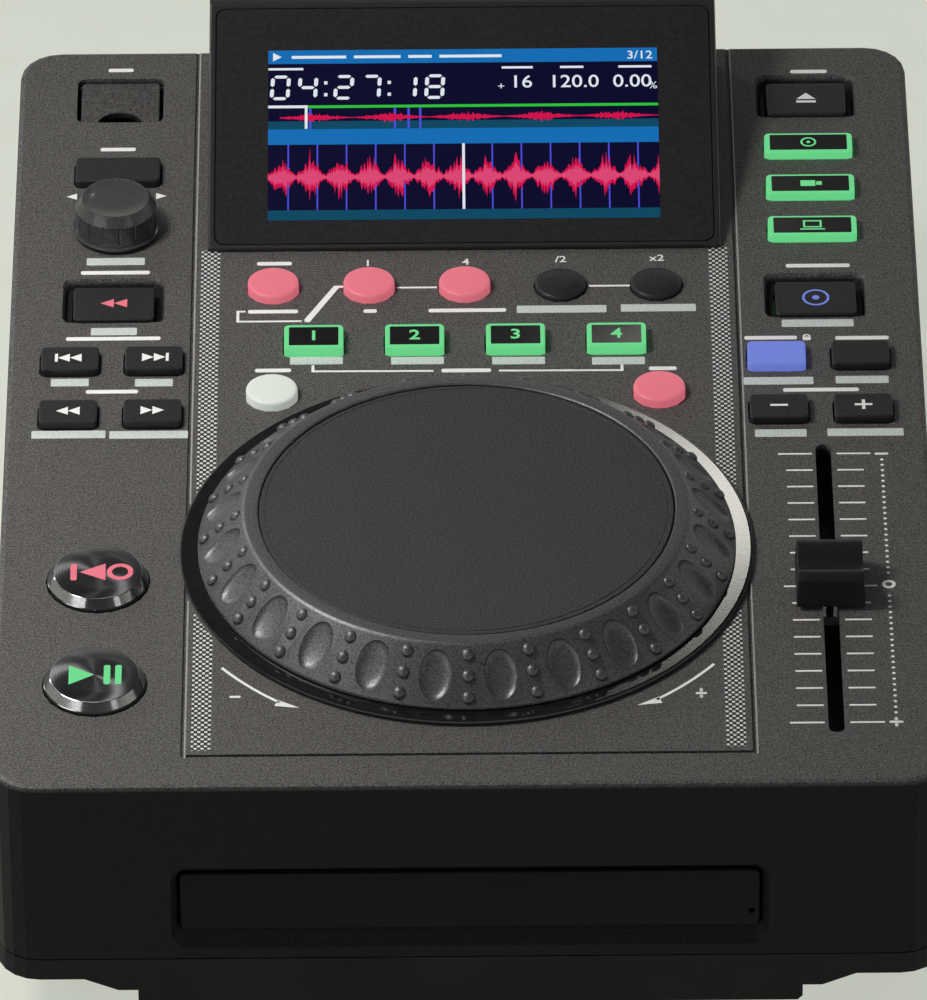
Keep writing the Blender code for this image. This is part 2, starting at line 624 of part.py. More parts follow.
def top_case(keys):
    """The deck with its skirt: shell, pocket blocks, posts, tray surround, then every opening."""
    def outline(inset=0.0):
        return rounded_rectangle(CASE_WIDTH - 2 * inset, CASE_DEPTH - 2 * inset, CORNER_RADIUS - inset, 6)

    bm = bmesh.new()
    skin(bm, [
        ring(outline(), SEAM_Z),
        ring(outline(), DECK_Z - EDGE_ROUND),
        ring(outline(EDGE_ROUND * (1 - math.sqrt(0.5))), DECK_Z - EDGE_ROUND * (1 - math.sqrt(0.5))),
        ring(outline(EDGE_ROUND), DECK_Z),
    ])
    case = added("top_case", bm, finish("deck_paint", CHARCOAL, 0.55))

    bm = bmesh.new()
    prism(bm, outline(WALL), SEAM_Z - OVERRUN, DECK_UNDERSIDE)
    combine(case, bm, "DIFFERENCE", "hollow")

    bm = bmesh.new()
    inside = DECK_Z - DECK_THICKNESS / 2
    for center in POCKETS:
        size = rectangle(POCKET_WIDTH + 2 * POCKET_FLOOR, POCKET_DEPTH + 2 * POCKET_FLOOR)
        prism(bm, size, DECK_Z - POCKET_BLOCK_HEIGHT, inside, center)
    size = rectangle(STICK_WELL_WIDTH + 2 * POCKET_FLOOR, STICK_WELL_DEPTH + 2 * POCKET_FLOOR)
    prism(bm, size, STICK_WELL_FLOOR - POCKET_FLOOR, inside, (-COLUMN_X, STICK_WELL_Y))
    surround = rectangle(MOUTH_WIDTH + 2 * MOUTH_SURROUND, MOUTH_HEIGHT + 2 * MOUTH_SURROUND)
    mouth = (0.0, DECK_Z - MOUTH_CENTER_BELOW_DECK)
    upright_prism(bm, surround, FRONT + WALL / 2, FRONT + MOUTH_SURROUND_DEPTH, mouth)
    combine(case, bm, "UNION", "blocks")

    bm = bmesh.new()
    post_x = CASE_WIDTH / 2 - SCREW_POST_INSET
    post_y = CASE_DEPTH / 2 - SCREW_POST_INSET
    for x in (-post_x, post_x):
        for y in (-post_y, post_y):
            prism(bm, circle(SCREW_POST_RADIUS, SMALL_STEPS), BOARD_TOP + SEAT_GAP, inside, (x, y))
    combine(case, bm, "UNION", "posts")

    bm = bmesh.new()
    lip = (POCKET_SINK + OVERRUN) / POCKET_SINK
    for center in POCKETS:
        floor = rounded_rectangle(POCKET_WIDTH - 2 * POCKET_SLOPE, POCKET_DEPTH - 2 * POCKET_SLOPE,
                                  POCKET_CORNER)
        grow = 2 * POCKET_SLOPE * (lip - 1)
        mouth_plan = rounded_rectangle(POCKET_WIDTH + grow, POCKET_DEPTH + grow, POCKET_CORNER)
        skin(bm, [ring(floor, DECK_Z - POCKET_SINK, center), ring(mouth_plan, DECK_Z + OVERRUN, center)])
    well = rounded_rectangle(STICK_WELL_WIDTH, STICK_WELL_DEPTH, STICK_WELL_CORNER)
    prism(bm, well, STICK_WELL_FLOOR, DECK_Z + OVERRUN, (-COLUMN_X, STICK_WELL_Y))
    groove_lines(bm)
    slope_outline = rounded_rectangle(MOUTH_WIDTH, MOUTH_HEIGHT, MOUTH_CORNER, 5)
    door_gap = 2 * RUNNING_GAP
    slot_outline = rounded_rectangle(DOOR_WIDTH + door_gap, DOOR_HEIGHT + door_gap,
                                     DOOR_CORNER + RUNNING_GAP, 5)
    slot = (0.0, TRAY_CENTER_Z)
    skin(bm, [
        upright_ring(slope_outline, FRONT - OVERRUN, mouth),
        upright_ring(slope_outline, FRONT, mouth),
        upright_ring(slot_outline, FRONT + MOUTH_SLOPE_DEPTH, slot),
        upright_ring(slot_outline, FRONT + MOUTH_SURROUND_DEPTH + OVERRUN, slot),
    ])
    combine(case, bm, "DIFFERENCE", "pockets")

    bm = bmesh.new()
    for key in keys:
        prism(bm, key_outline(key, KEY_GAP), key_plate_bottom(key) - OVERRUN, DECK_Z + OVERRUN,
              (key["x"], key["y"]))
    prism(bm, circle(JOG_WELL_RADIUS, JOG_STEPS), DECK_UNDERSIDE - OVERRUN, DECK_Z + OVERRUN, (0.0, JOG_Y))
    prism(bm, circle(ENCODER_SHAFT_RADIUS + RUNNING_GAP, SHAFT_STEPS), DECK_UNDERSIDE - OVERRUN, DECK_Z + OVERRUN,
          (-COLUMN_X, KNOB_Y))
    prism(bm, rounded_rectangle(FADER_SLOT_WIDTH, FADER_SLOT_LENGTH, FADER_SLOT_WIDTH / 2, 5),
          DECK_UNDERSIDE - OVERRUN, DECK_Z + OVERRUN, (FADER_X, FADER_Y))
    prism(bm, rectangle(STICK_SOCKET_WIDTH + 2 * SEAT_GAP, STICK_SOCKET_DEPTH + 2 * SEAT_GAP),
          STICK_WELL_FLOOR - POCKET_FLOOR - OVERRUN, STICK_WELL_FLOOR + OVERRUN, (-COLUMN_X, STICK_WELL_Y))
    for side in (-1, 1):
        wall_x = -COLUMN_X + side * STICK_WELL_WIDTH / 2
        cross_bar(bm, STICK_PIN_RADIUS + SEAT_GAP, STICK_PIN_REACH + SEAT_GAP,
                  (wall_x, STICK_HINGE_Y, STICK_HINGE_Z))
    collar_x = DISPLAY_WIDTH / 2 - DISPLAY_COLLAR_INSET + SEAT_GAP
    collar_front = FRONT + DISPLAY_FRONT + DISPLAY_COLLAR_FRONT - SEAT_GAP
    collar_back = FRONT + DISPLAY_FRONT + DISPLAY_RUN - DISPLAY_COLLAR_INSET + SEAT_GAP
    block(bm, (-collar_x, collar_front, DECK_UNDERSIDE - OVERRUN), (collar_x, collar_back, DECK_Z + OVERRUN))
    bay = rounded_rectangle(BAY_WIDTH, BAY_HEIGHT, WALL)
    upright_prism(bm, bay, BAY_MOUTH_Y - WALL - OVERRUN, BAY_MOUTH_Y + OVERRUN, (0.0, BAY_Z))
    combine(case, bm, "DIFFERENCE", "openings")


def groove_lines(bm):
    """The fine groove that frames the deck's middle strip, one line across the front and two to the back."""
    outer = JOG_BASE_RADIUS - GROOVE_FROM_JOG_EDGE + GROOVE_WIDTH / 2
    inner = outer - GROOVE_WIDTH
    front = FRONT + GROOVE_FRONT
    back = CASE_DEPTH / 2 + OVERRUN
    outline = [
        (outer, front), (outer, back), (inner, back), (inner, front + GROOVE_WIDTH),
        (-inner, front + GROOVE_WIDTH), (-inner, back), (-outer, back), (-outer, front),
    ]
    prism(bm, outline, DECK_Z - GROOVE_DEPTH, DECK_Z + OVERRUN)


def bottom_case():
    """The lower shell: a stepped belly drawn from front to back, trimmed to the case's plan and hollowed."""
    step_inner = BELLY_HALF_WIDTH + BELLY_FLAT_RUN
    step_outer = step_inner + BELLY_SLOPE_RUN
    edge = CASE_WIDTH / 2 + OVERRUN
    step_z = FOOT_STAND - BELLY_STEP_DROP
    top = SEAM_Z - SEAT_GAP
    right = [(BELLY_HALF_WIDTH - EDGE_ROUND, BELLY_BOTTOM), (BELLY_HALF_WIDTH, BELLY_BOTTOM + EDGE_ROUND),
             (BELLY_HALF_WIDTH, step_z), (step_inner, step_z), (step_outer, FOOT_STAND),
             (edge, FOOT_STAND), (edge, top)]
    section = right + [(-x, z) for x, z in reversed(right)]
    bm = bmesh.new()
    upright_prism(bm, section, FRONT - OVERRUN, -FRONT + OVERRUN)
    shell = added("bottom_case", bm, finish("lower_shell", BLACK, 0.6))

    bm = bmesh.new()
    plan = rounded_rectangle(CASE_WIDTH, CASE_DEPTH, CORNER_RADIUS, 6)
    prism(bm, plan, BELLY_BOTTOM - OVERRUN, SEAM_Z + OVERRUN)
    combine(shell, bm, "INTERSECT", "plan")

    bm = bmesh.new()
    for x in (-FOOT_X, FOOT_X):
        for y in (-FOOT_Y, FOOT_Y):
            prism(bm, circle(FOOT_PAD_RADIUS, LARGE_STEPS), FOOT_STAND - FOOT_PAD_DROP, FOOT_STAND + WALL / 2, (x, y))
    combine(shell, bm, "UNION", "foot_pads")

    bm = bmesh.new()
    inner = rounded_rectangle(CASE_WIDTH - 2 * WALL, CASE_DEPTH - 2 * WALL, CORNER_RADIUS - WALL, 6)
    prism(bm, inner, FOOT_STAND + WALL, SEAM_Z + OVERRUN)
    combine(shell, bm, "DIFFERENCE", "hollow")

    bm = bmesh.new()
    x, y = BELLY_HALF_WIDTH - WALL, CASE_DEPTH / 2 - WALL
    block(bm, (-x, -y, BELLY_BOTTOM + WALL), (x, y, FOOT_STAND + WALL + OVERRUN))
    for x in (-FOOT_X, FOOT_X):
        for y in (-FOOT_Y, FOOT_Y):
            prism(bm, circle(FOOT_SPIGOT_RADIUS + SEAT_GAP, SMALL_STEPS), FOOT_TOP - OVERRUN,
                  FOOT_STAND + WALL + OVERRUN, (x, y))
    combine(shell, bm, "DIFFERENCE", "belly_hollow")


def feet():
    rubber = finish("foot_rubber", (0.012, 0.012, 0.012), 0.8)
    for end, y in (("front", -FOOT_Y), ("rear", FOOT_Y)):
        for side, x in (("left", -FOOT_X), ("right", FOOT_X)):
            bm = bmesh.new()
            turned(bm, [
                (0.0, 0.0), (FOOT_BASE_RADIUS - FOOT_EDGE, 0.0), (FOOT_BASE_RADIUS, FOOT_EDGE),
                (FOOT_RADIUS, FOOT_TOP - FOOT_EDGE), (FOOT_RADIUS - FOOT_EDGE, FOOT_TOP),
                (FOOT_SPIGOT_RADIUS, FOOT_TOP), (FOOT_SPIGOT_RADIUS, FOOT_TOP + FOOT_SPIGOT_HEIGHT),
                (0.0, FOOT_TOP + FOOT_SPIGOT_HEIGHT),
            ], KEY_STEPS, bored=False)
            added(f"foot_{end}_{side}", bm, rubber, (x, y, 0))


def jog_base():
    """The dish that the wheel turns over. Its rim is the glossy ring on the deck."""
    lip_low, lip_top = SEAT_GAP, SEAT_GAP + JOG_BASE_LIP
    floor_top = -JOG_WELL_DEPTH
    floor_bottom = floor_top - JOG_DISH_WALL
    wall_out = JOG_WELL_RADIUS - RUNNING_GAP
    bore = JOG_SPINDLE_RADIUS + SEAT_GAP
    bm = bmesh.new()
    turned(bm, [
        (JOG_BASE_RADIUS, lip_low), (JOG_BASE_RADIUS, lip_top - JOG_BASE_LIP / 2),
        (JOG_BASE_RADIUS - JOG_BASE_LIP / 2, lip_top), (wall_out - JOG_DISH_WALL, lip_top),
        (wall_out - JOG_DISH_WALL, floor_top), (bore, floor_top), (bore, floor_bottom),
        (wall_out, floor_bottom), (wall_out, lip_low),
    ], RING_STEPS)
    added("jog_base", bm, finish("ring_gloss", (0.008, 0.008, 0.009), 0.08), (0, JOG_Y, DECK_Z))


def jog_spindle():
    """The fixed hub: a flange on the dish floor and the axle that the wheel turns on."""
    flange_low = -JOG_WELL_DEPTH + SEAT_GAP
    flange_top = flange_low + JOG_FLANGE_HEIGHT
    tail = -JOG_WELL_DEPTH - JOG_DISH_WALL - JOG_SPINDLE_TAIL
    axle_top = JOG_HEIGHT - JOG_PLATE_SINK - JOG_PLATE_THICKNESS - 2 * RUNNING_GAP
    bm = bmesh.new()
    turned(bm, [
        (0.0, tail), (JOG_SPINDLE_RADIUS, tail), (JOG_SPINDLE_RADIUS, flange_low),
        (JOG_FLANGE_RADIUS, flange_low), (JOG_FLANGE_RADIUS, flange_top), (JOG_AXLE_RADIUS, flange_top),
        (JOG_AXLE_RADIUS, axle_top), (0.0, axle_top),
    ], SHAFT_STEPS, bored=False)
    added("jog_spindle", bm, finish("spindle_steel", (0.55, 0.55, 0.56), 0.3, metallic=1.0),
          (0, JOG_Y, DECK_Z))


def jog_wheel():
    """The wheel: a hollow turned rim whose slope has oval dimples, with columns of bumps between them."""
    skirt_z = SEAT_GAP + JOG_BASE_LIP + RUNNING_GAP / 2
    recess_z = JOG_HEIGHT - JOG_PLATE_SINK - JOG_PLATE_THICKNESS - SEAT_GAP
    recess_radius = JOG_PLATE_RADIUS + SEAT_GAP
    web_z = recess_z - JOG_RIM_WALL
    bore = JOG_AXLE_RADIUS + SEAT_GAP
    hub_z = -JOG_WELL_DEPTH + 2 * SEAT_GAP + JOG_FLANGE_HEIGHT
    bm = bmesh.new()
    turned(bm, [
        (bore, recess_z), (recess_radius, recess_z), (recess_radius, JOG_HEIGHT),
        (JOG_TOP_RADIUS - JOG_EDGE, JOG_HEIGHT), (JOG_TOP_RADIUS, JOG_HEIGHT - JOG_EDGE),
        (JOG_RIM_RADIUS, skirt_z + JOG_EDGE), (JOG_RIM_RADIUS, skirt_z),
        (JOG_RIM_RADIUS - JOG_RIM_WALL, skirt_z), (JOG_TOP_RADIUS - JOG_RIM_WALL, web_z),
        (JOG_HUB_RADIUS, web_z), (JOG_HUB_RADIUS, hub_z), (bore, hub_z),
    ], JOG_STEPS, start=math.pi / JOG_STEPS)
    wheel = added("jog_wheel", bm, finish("wheel_rim", (0.09, 0.095, 0.11), 0.4), (0, JOG_Y, DECK_Z))

    slope = math.atan2(JOG_HEIGHT - skirt_z - 2 * JOG_EDGE, JOG_RIM_RADIUS - JOG_TOP_RADIUS)
    middle_radius = (JOG_TOP_RADIUS + JOG_RIM_RADIUS) / 2
    middle_z = (JOG_HEIGHT + skirt_z) / 2
    bowls = bmesh.new()
    bumps = bmesh.new()
    bowl_rows = ((1.0, OVERRUN), (1.0, 0.0), (BOWL_FLOOR_SHARE, -DIMPLE_DEPTH))
    bump_rows = ((1.0, -BUMP_HEIGHT), (BUMP_TOP_SHARE, BUMP_HEIGHT))
    for k in range(DIMPLE_COUNT):
        pitch = 2 * math.pi / DIMPLE_COUNT
        on_slope(bowls, circle(DIMPLE_WIDTH / 2, BOWL_STEPS), DIMPLE_LENGTH / DIMPLE_WIDTH, bowl_rows,
                 (slope, middle_radius, middle_z, (k + 0.5) * pitch))
        for row in range(BUMPS_PER_COLUMN):
            along = (row - (BUMPS_PER_COLUMN - 1) / 2) * BUMP_PITCH
            radius = middle_radius + along * math.cos(slope)
            height = middle_z - along * math.sin(slope)
            on_slope(bumps, circle(BUMP_RADIUS, BUMP_STEPS), 1.0, bump_rows, (slope, radius, height, k * pitch))
    combine(wheel, bowls, "DIFFERENCE", "dimples")
    combine(wheel, bumps, "UNION", "bumps")


def on_slope(bm, outline, stretch, rows, place):
    """A stack of rings on the rim's slope. A row gives a ring's share of the outline and its lift."""
    slope, radius, height, turn = place
    rings = []
    for share, lift in rows:
        points = []
        for across, along in outline:
            across, down = across * share, along * share * stretch
            r = radius + down * math.cos(slope) + lift * math.sin(slope)
            z = height - down * math.sin(slope) + lift * math.cos(slope)
            points.append((r * math.cos(turn) - across * math.sin(turn),
                           r * math.sin(turn) + across * math.cos(turn), z))
        rings.append(points)
    skin(bm, rings)


def jog_top_plate():
    bottom = JOG_HEIGHT - JOG_PLATE_SINK - JOG_PLATE_THICKNESS
    top = JOG_HEIGHT - JOG_PLATE_SINK
    bm = bmesh.new()
    skin(bm, [
        ring(circle(JOG_PLATE_RADIUS, RING_STEPS), bottom),
        ring(circle(JOG_PLATE_RADIUS, RING_STEPS), top),
    ])
    added("jog_top_plate", bm, finish("plate_black", BLACK, 0.5), (0, JOG_Y, DECK_Z))


def control_board(keys):
    """The board under the deck, with a tall switch below each key."""
    bm = bmesh.new()
    inset = WALL + BOARD_INSET
    plan = rounded_rectangle(CASE_WIDTH - 2 * inset, CASE_DEPTH - 2 * inset, CORNER_RADIUS - WALL)
    prism(bm, plan, BOARD_TOP - BOARD_THICKNESS, BOARD_TOP)
    board = added("control_board", bm, finish("board_green", (0.02, 0.09, 0.04), 0.5))

    bm = bmesh.new()
    base = rectangle(SWITCH_SIDE, SWITCH_SIDE)
    pin = rectangle(SWITCH_PIN_SIDE, SWITCH_PIN_SIDE)
    for key in keys:
        center = (key["x"], key["y"])
        body_top = BOARD_TOP + SWITCH_BODY_HEIGHT
        pin_top = key_bottom(key) - KEY_TRAVEL - KEY_SWITCH_SPARE
        skin(bm, [
            ring(base, BOARD_TOP - BOARD_THICKNESS / 2, center), ring(base, body_top, center),
            ring(pin, body_top, center), ring(pin, pin_top, center),
        ])
    combine(board, bm, "UNION", "switches")

    bm = bmesh.new()
    prism(bm, rectangle(STICK_SOCKET_WIDTH + 2 * SEAT_GAP, STICK_SOCKET_DEPTH + 2 * SEAT_GAP),
          BOARD_TOP - BOARD_THICKNESS - OVERRUN, BOARD_TOP + OVERRUN, (-COLUMN_X, STICK_WELL_Y))
    combine(board, bm, "DIFFERENCE", "socket_hole")


def browse_knob():
    """A fluted knob on a push shaft that turns in the encoder body on the board."""
    lift = KNOB_PUSH + SEAT_GAP
    shaft_top = lift + KNOB_HEIGHT - KNOB_CROWN
    points = 2 * KNOB_FLUTES

    def fluted(radius, depth):
        turns = [2 * math.pi * k / points for k in range(points)]
        radii = [radius - depth * (k % 2) for k in range(points)]
        return [(r * math.cos(a), r * math.sin(a)) for r, a in zip(radii, turns)]

    bm = bmesh.new()
    skin(bm, [
        ring(circle(KNOB_SKIRT_RADIUS, points), lift),
        ring(circle(KNOB_SKIRT_RADIUS, points), lift + KNOB_SKIRT_HEIGHT),
        ring(fluted(KNOB_RADIUS, KNOB_FLUTE_DEPTH), lift + KNOB_SKIRT_HEIGHT),
        ring(fluted(KNOB_RADIUS, KNOB_FLUTE_DEPTH), lift + KNOB_HEIGHT - KNOB_CHAMFER_HEIGHT),
        ring(circle(KNOB_TOP_RADIUS, points), lift + KNOB_HEIGHT),
    ])
    knob = added("browse_knob", bm, finish("knob_black", BLACK, 0.45), (-COLUMN_X, KNOB_Y, DECK_Z))
    bm = bmesh.new()
    prism(bm, circle(ENCODER_SHAFT_RADIUS + SEAT_GAP, SHAFT_STEPS), lift - OVERRUN, shaft_top + SEAT_GAP)
    combine(knob, bm, "DIFFERENCE", "bore")

    body_bottom = BOARD_TOP + SEAT_GAP - DECK_Z
    bore_bottom = body_bottom + ENCODER_FLOOR
    shaft_bottom = bore_bottom + KNOB_PUSH + SEAT_GAP
    steel = finish("shaft_steel", (0.5, 0.5, 0.5), 0.3, metallic=1.0)
    bm = bmesh.new()
    prism(bm, circle(ENCODER_SHAFT_RADIUS, SHAFT_STEPS), shaft_bottom, shaft_top)
    added("encoder_shaft", bm, steel, (-COLUMN_X, KNOB_Y, DECK_Z))

    bm = bmesh.new()
    prism(bm, rectangle(ENCODER_BODY_SIDE, ENCODER_BODY_SIDE), body_bottom, body_bottom + ENCODER_BODY_HEIGHT)
    body = added("encoder_body", bm, finish("encoder_case", (0.1, 0.1, 0.1), 0.5),
                 (-COLUMN_X, KNOB_Y, DECK_Z))
    bm = bmesh.new()
    prism(bm, circle(ENCODER_SHAFT_RADIUS + SEAT_GAP, SHAFT_STEPS), bore_bottom,
          body_bottom + ENCODER_BODY_HEIGHT + OVERRUN)
    combine(body, bm, "DIFFERENCE", "bore")


def pitch_fader():
    """Saddle cap, the lever that it is pressed on, and the channel that the lever's slider runs in."""
    place = (FADER_X, FADER_Y, DECK_Z)
    low, high = FADER_CAP_CLEARANCE, FADER_CAP_CLEARANCE + FADER_CAP_HEIGHT
    half = FADER_CAP_LENGTH / 2
    shoulder = half - FADER_CAP_SKIRT
    saddle_half = shoulder - FADER_CAP_FLAT
    side = [(half, low), (shoulder, high - FADER_CAP_CROWN), (saddle_half, high)]
    arc = [
        (saddle_half * math.cos(a), high - FADER_CAP_SADDLE * math.sin(a))
        for a in (math.pi * k / SADDLE_STEPS for k in range(1, SADDLE_STEPS))
    ]
    profile = side + arc + [(-y, z) for y, z in reversed(side)]
    bm = bmesh.new()
    half_width = FADER_CAP_WIDTH / 2
    drop = FADER_CAP_EDGE
    inner = [(y * FADER_CAP_SIDE_SHARE, max(z - drop, low)) for y, z in profile]
    skin(bm, [
        [(-half_width, y, z) for y, z in inner],
        [(-half_width + drop, y, z) for y, z in profile],
        [(half_width - drop, y, z) for y, z in profile],
        [(half_width, y, z) for y, z in inner],
    ])
    cap = added("pitch_fader_cap", bm, finish("cap_black", BLACK, 0.4), place)
    bm = bmesh.new()
    reach = FADER_CAP_CLEARANCE + FADER_LEVER_REACH - FADER_CAP_SADDLE / 2
    prism(bm, rectangle(FADER_LEVER_THICKNESS + 2 * SEAT_GAP, FADER_LEVER_LENGTH + 2 * SEAT_GAP),
          low - OVERRUN, reach + SEAT_GAP)
    combine(cap, bm, "DIFFERENCE", "lever_slot")

    body_top = -DECK_THICKNESS - SEAT_GAP
    body_bottom = BOARD_TOP + SEAT_GAP - DECK_Z
    channel = body_bottom + FADER_BODY_FLOOR
    slider_low = channel + SEAT_GAP
    slider = rectangle(FADER_SLIDER_WIDTH, FADER_SLIDER_LENGTH)
    lever = rectangle(FADER_LEVER_THICKNESS, FADER_LEVER_LENGTH)
    bm = bmesh.new()
    skin(bm, [
        ring(slider, slider_low), ring(slider, slider_low + FADER_SLIDER_HEIGHT),
        ring(lever, slider_low + FADER_SLIDER_HEIGHT), ring(lever, reach),
    ])
    added("pitch_fader_lever", bm, finish("lever_steel", (0.5, 0.5, 0.5), 0.35, metallic=1.0), place)

    bm = bmesh.new()
    prism(bm, rectangle(FADER_BODY_WIDTH, FADER_BODY_LENGTH), body_bottom, body_top)
    body = added("pitch_fader_body", bm, finish("fader_can", (0.3, 0.3, 0.3), 0.4, metallic=1.0), place)
    bm = bmesh.new()
    run = FADER_SLIDER_LENGTH + 2 * (FADER_TRAVEL + RUNNING_GAP)
    prism(bm, rectangle(FADER_SLIDER_WIDTH + 2 * RUNNING_GAP, run), channel, body_top + OVERRUN)
    combine(body, bm, "DIFFERENCE", "channel")


def display():
    """The wedge-shaped housing on the deck, the black window in its slope and the screen behind it."""
    width = DISPLAY_WIDTH / 2
    toe = SEAT_GAP + DISPLAY_TOE
    back = DISPLAY_RUN + DISPLAY_BACK_LAND
    section = [(0.0, SEAT_GAP), (0.0, toe), (DISPLAY_RUN, toe + DISPLAY_RISE),
               (back - EDGE_ROUND, toe + DISPLAY_RISE), (back, toe + DISPLAY_RISE - EDGE_ROUND),
               (back, SEAT_GAP)]
    place = (0, FRONT + DISPLAY_FRONT, DECK_Z)
    bm = bmesh.new()
    skin(bm, [[(-width, y, z) for y, z in section], [(width, y, z) for y, z in section]])
    housing = added("display_housing", bm, finish("housing_black", BLACK, 0.35), place)

    bm = bmesh.new()
    collar_x = width - DISPLAY_COLLAR_INSET
    block(bm, (-collar_x, DISPLAY_COLLAR_FRONT, -DISPLAY_COLLAR_DEPTH),
          (collar_x, DISPLAY_RUN - DISPLAY_COLLAR_INSET, SEAT_GAP + DISPLAY_TOE / 2))
    combine(housing, bm, "UNION", "collar")

    def sloped(bm_slope):
        """Turn a shape laid out along the slope, with its face at zero, onto the housing."""
        bmesh.ops.rotate(bm_slope, verts=bm_slope.verts[:], cent=(0, 0, 0),
                         matrix=Matrix.Rotation(DISPLAY_TILT, 3, "X"))
        bmesh.ops.translate(bm_slope, verts=bm_slope.verts[:], vec=(0, 0, toe))
        return bm_slope

    window_length = DISPLAY_LENGTH - 2 * WINDOW_BORDER
    window_center = (0.0, DISPLAY_LENGTH / 2)
    screen_center = (0.0, SCREEN_FROM_FRONT + SCREEN_LENGTH / 2)
    bm = bmesh.new()
    pocket = rounded_rectangle(WINDOW_WIDTH + 2 * SEAT_GAP, window_length + 2 * SEAT_GAP,
                               WINDOW_CORNER + SEAT_GAP, 4)
    prism(bm, pocket, -WINDOW_THICKNESS - SEAT_GAP, OVERRUN, window_center)
    combine(housing, sloped(bm), "DIFFERENCE", "window_seat")
    bm = bmesh.new()
    gap = 2 * SEAT_GAP
    prism(bm, rectangle(SCREEN_WIDTH + gap, SCREEN_LENGTH + gap),
          -DISPLAY_RISE - DISPLAY_COLLAR_DEPTH - 2 * OVERRUN, OVERRUN, screen_center)
    combine(housing, sloped(bm), "DIFFERENCE", "screen_seat")

    bm = bmesh.new()
    plan = rounded_rectangle(WINDOW_WIDTH, window_length, WINDOW_CORNER, 4)
    prism(bm, plan, -WINDOW_THICKNESS, 0.0, window_center)
    added("display_window", sloped(bm), finish("window_gloss", (0.02, 0.02, 0.025), 0.05), place)

    bm = bmesh.new()
    top = -WINDOW_THICKNESS - SEAT_GAP
    prism(bm, rectangle(SCREEN_WIDTH, SCREEN_LENGTH), top - SCREEN_THICKNESS, top, screen_center)
    added("screen_panel", sloped(bm), finish("screen_blue", (0.02, 0.03, 0.25), 0.3, emission=0.5), place)


def stick_door_and_socket():
    """The flap over the memory stick well, hinged at its back edge, and the socket that stands below it."""
    half_width = STICK_WELL_WIDTH / 2 - STICK_DOOR_SIDE_GAP
    radius = STICK_DOOR_HINGE_RADIUS
    front = -(STICK_WELL_DEPTH - RUNNING_GAP - STICK_DOOR_BACK_GAP - radius)
    top, bottom = radius, radius - STICK_DOOR_THICKNESS
    bm = bmesh.new()
    plan = rounded_rectangle(2 * half_width, radius - front, STICK_DOOR_CORNER, 4)
    prism(bm, plan, bottom, top, (0.0, (radius + front) / 2))
    door = added("usb_door", bm, finish("stick_door", BLACK, 0.5), (-COLUMN_X, STICK_HINGE_Y, STICK_HINGE_Z))
    bm = bmesh.new()
    cross_bar(bm, STICK_PIN_RADIUS, STICK_WELL_WIDTH / 2 + STICK_PIN_REACH)
    combine(door, bm, "UNION", "hinge_pins")
    bm = bmesh.new()
    notch = [(STICK_NOTCH_WIDTH / 2 * math.cos(a), front + STICK_NOTCH_DEPTH * math.sin(a))
             for a in (math.pi * k / NOTCH_STEPS for k in range(NOTCH_STEPS + 1))]
    notch += [(-STICK_NOTCH_WIDTH / 2, front - OVERRUN), (STICK_NOTCH_WIDTH / 2, front - OVERRUN)]
    prism(bm, notch, bottom - OVERRUN, top + OVERRUN)
    combine(door, bm, "DIFFERENCE", "thumb_notch")

    socket_top = DECK_Z - STICK_SOCKET_BELOW_DECK
    bm = bmesh.new()
    place = (-COLUMN_X, STICK_WELL_Y)
    prism(bm, rectangle(STICK_SOCKET_WIDTH, STICK_SOCKET_DEPTH), socket_top - STICK_SOCKET_HEIGHT,
          socket_top, place)
    socket = added("usb_socket", bm, finish("socket_steel", (0.6, 0.6, 0.6), 0.3, metallic=1.0))
    bm = bmesh.new()
    inner_width = STICK_SOCKET_WIDTH - 2 * STICK_SOCKET_WALL
    inner_depth = STICK_SOCKET_DEPTH - 2 * STICK_SOCKET_WALL
    tongue_y = STICK_TONGUE_DEPTH / 2
    floor = socket_top - STICK_SOCKET_HEIGHT + 2 * STICK_SOCKET_WALL
    u_outline = [
        (inner_width / 2, -inner_depth / 2), (inner_width / 2, inner_depth / 2),
        (-inner_width / 2, inner_depth / 2), (-inner_width / 2, -inner_depth / 2),
        (-STICK_TONGUE_WIDTH / 2, -inner_depth / 2), (-STICK_TONGUE_WIDTH / 2, tongue_y),
        (STICK_TONGUE_WIDTH / 2, tongue_y), (STICK_TONGUE_WIDTH / 2, -inner_depth / 2),
    ]
    prism(bm, u_outline, floor, socket_top + OVERRUN, place)
    combine(socket, bm, "DIFFERENCE", "mouth")


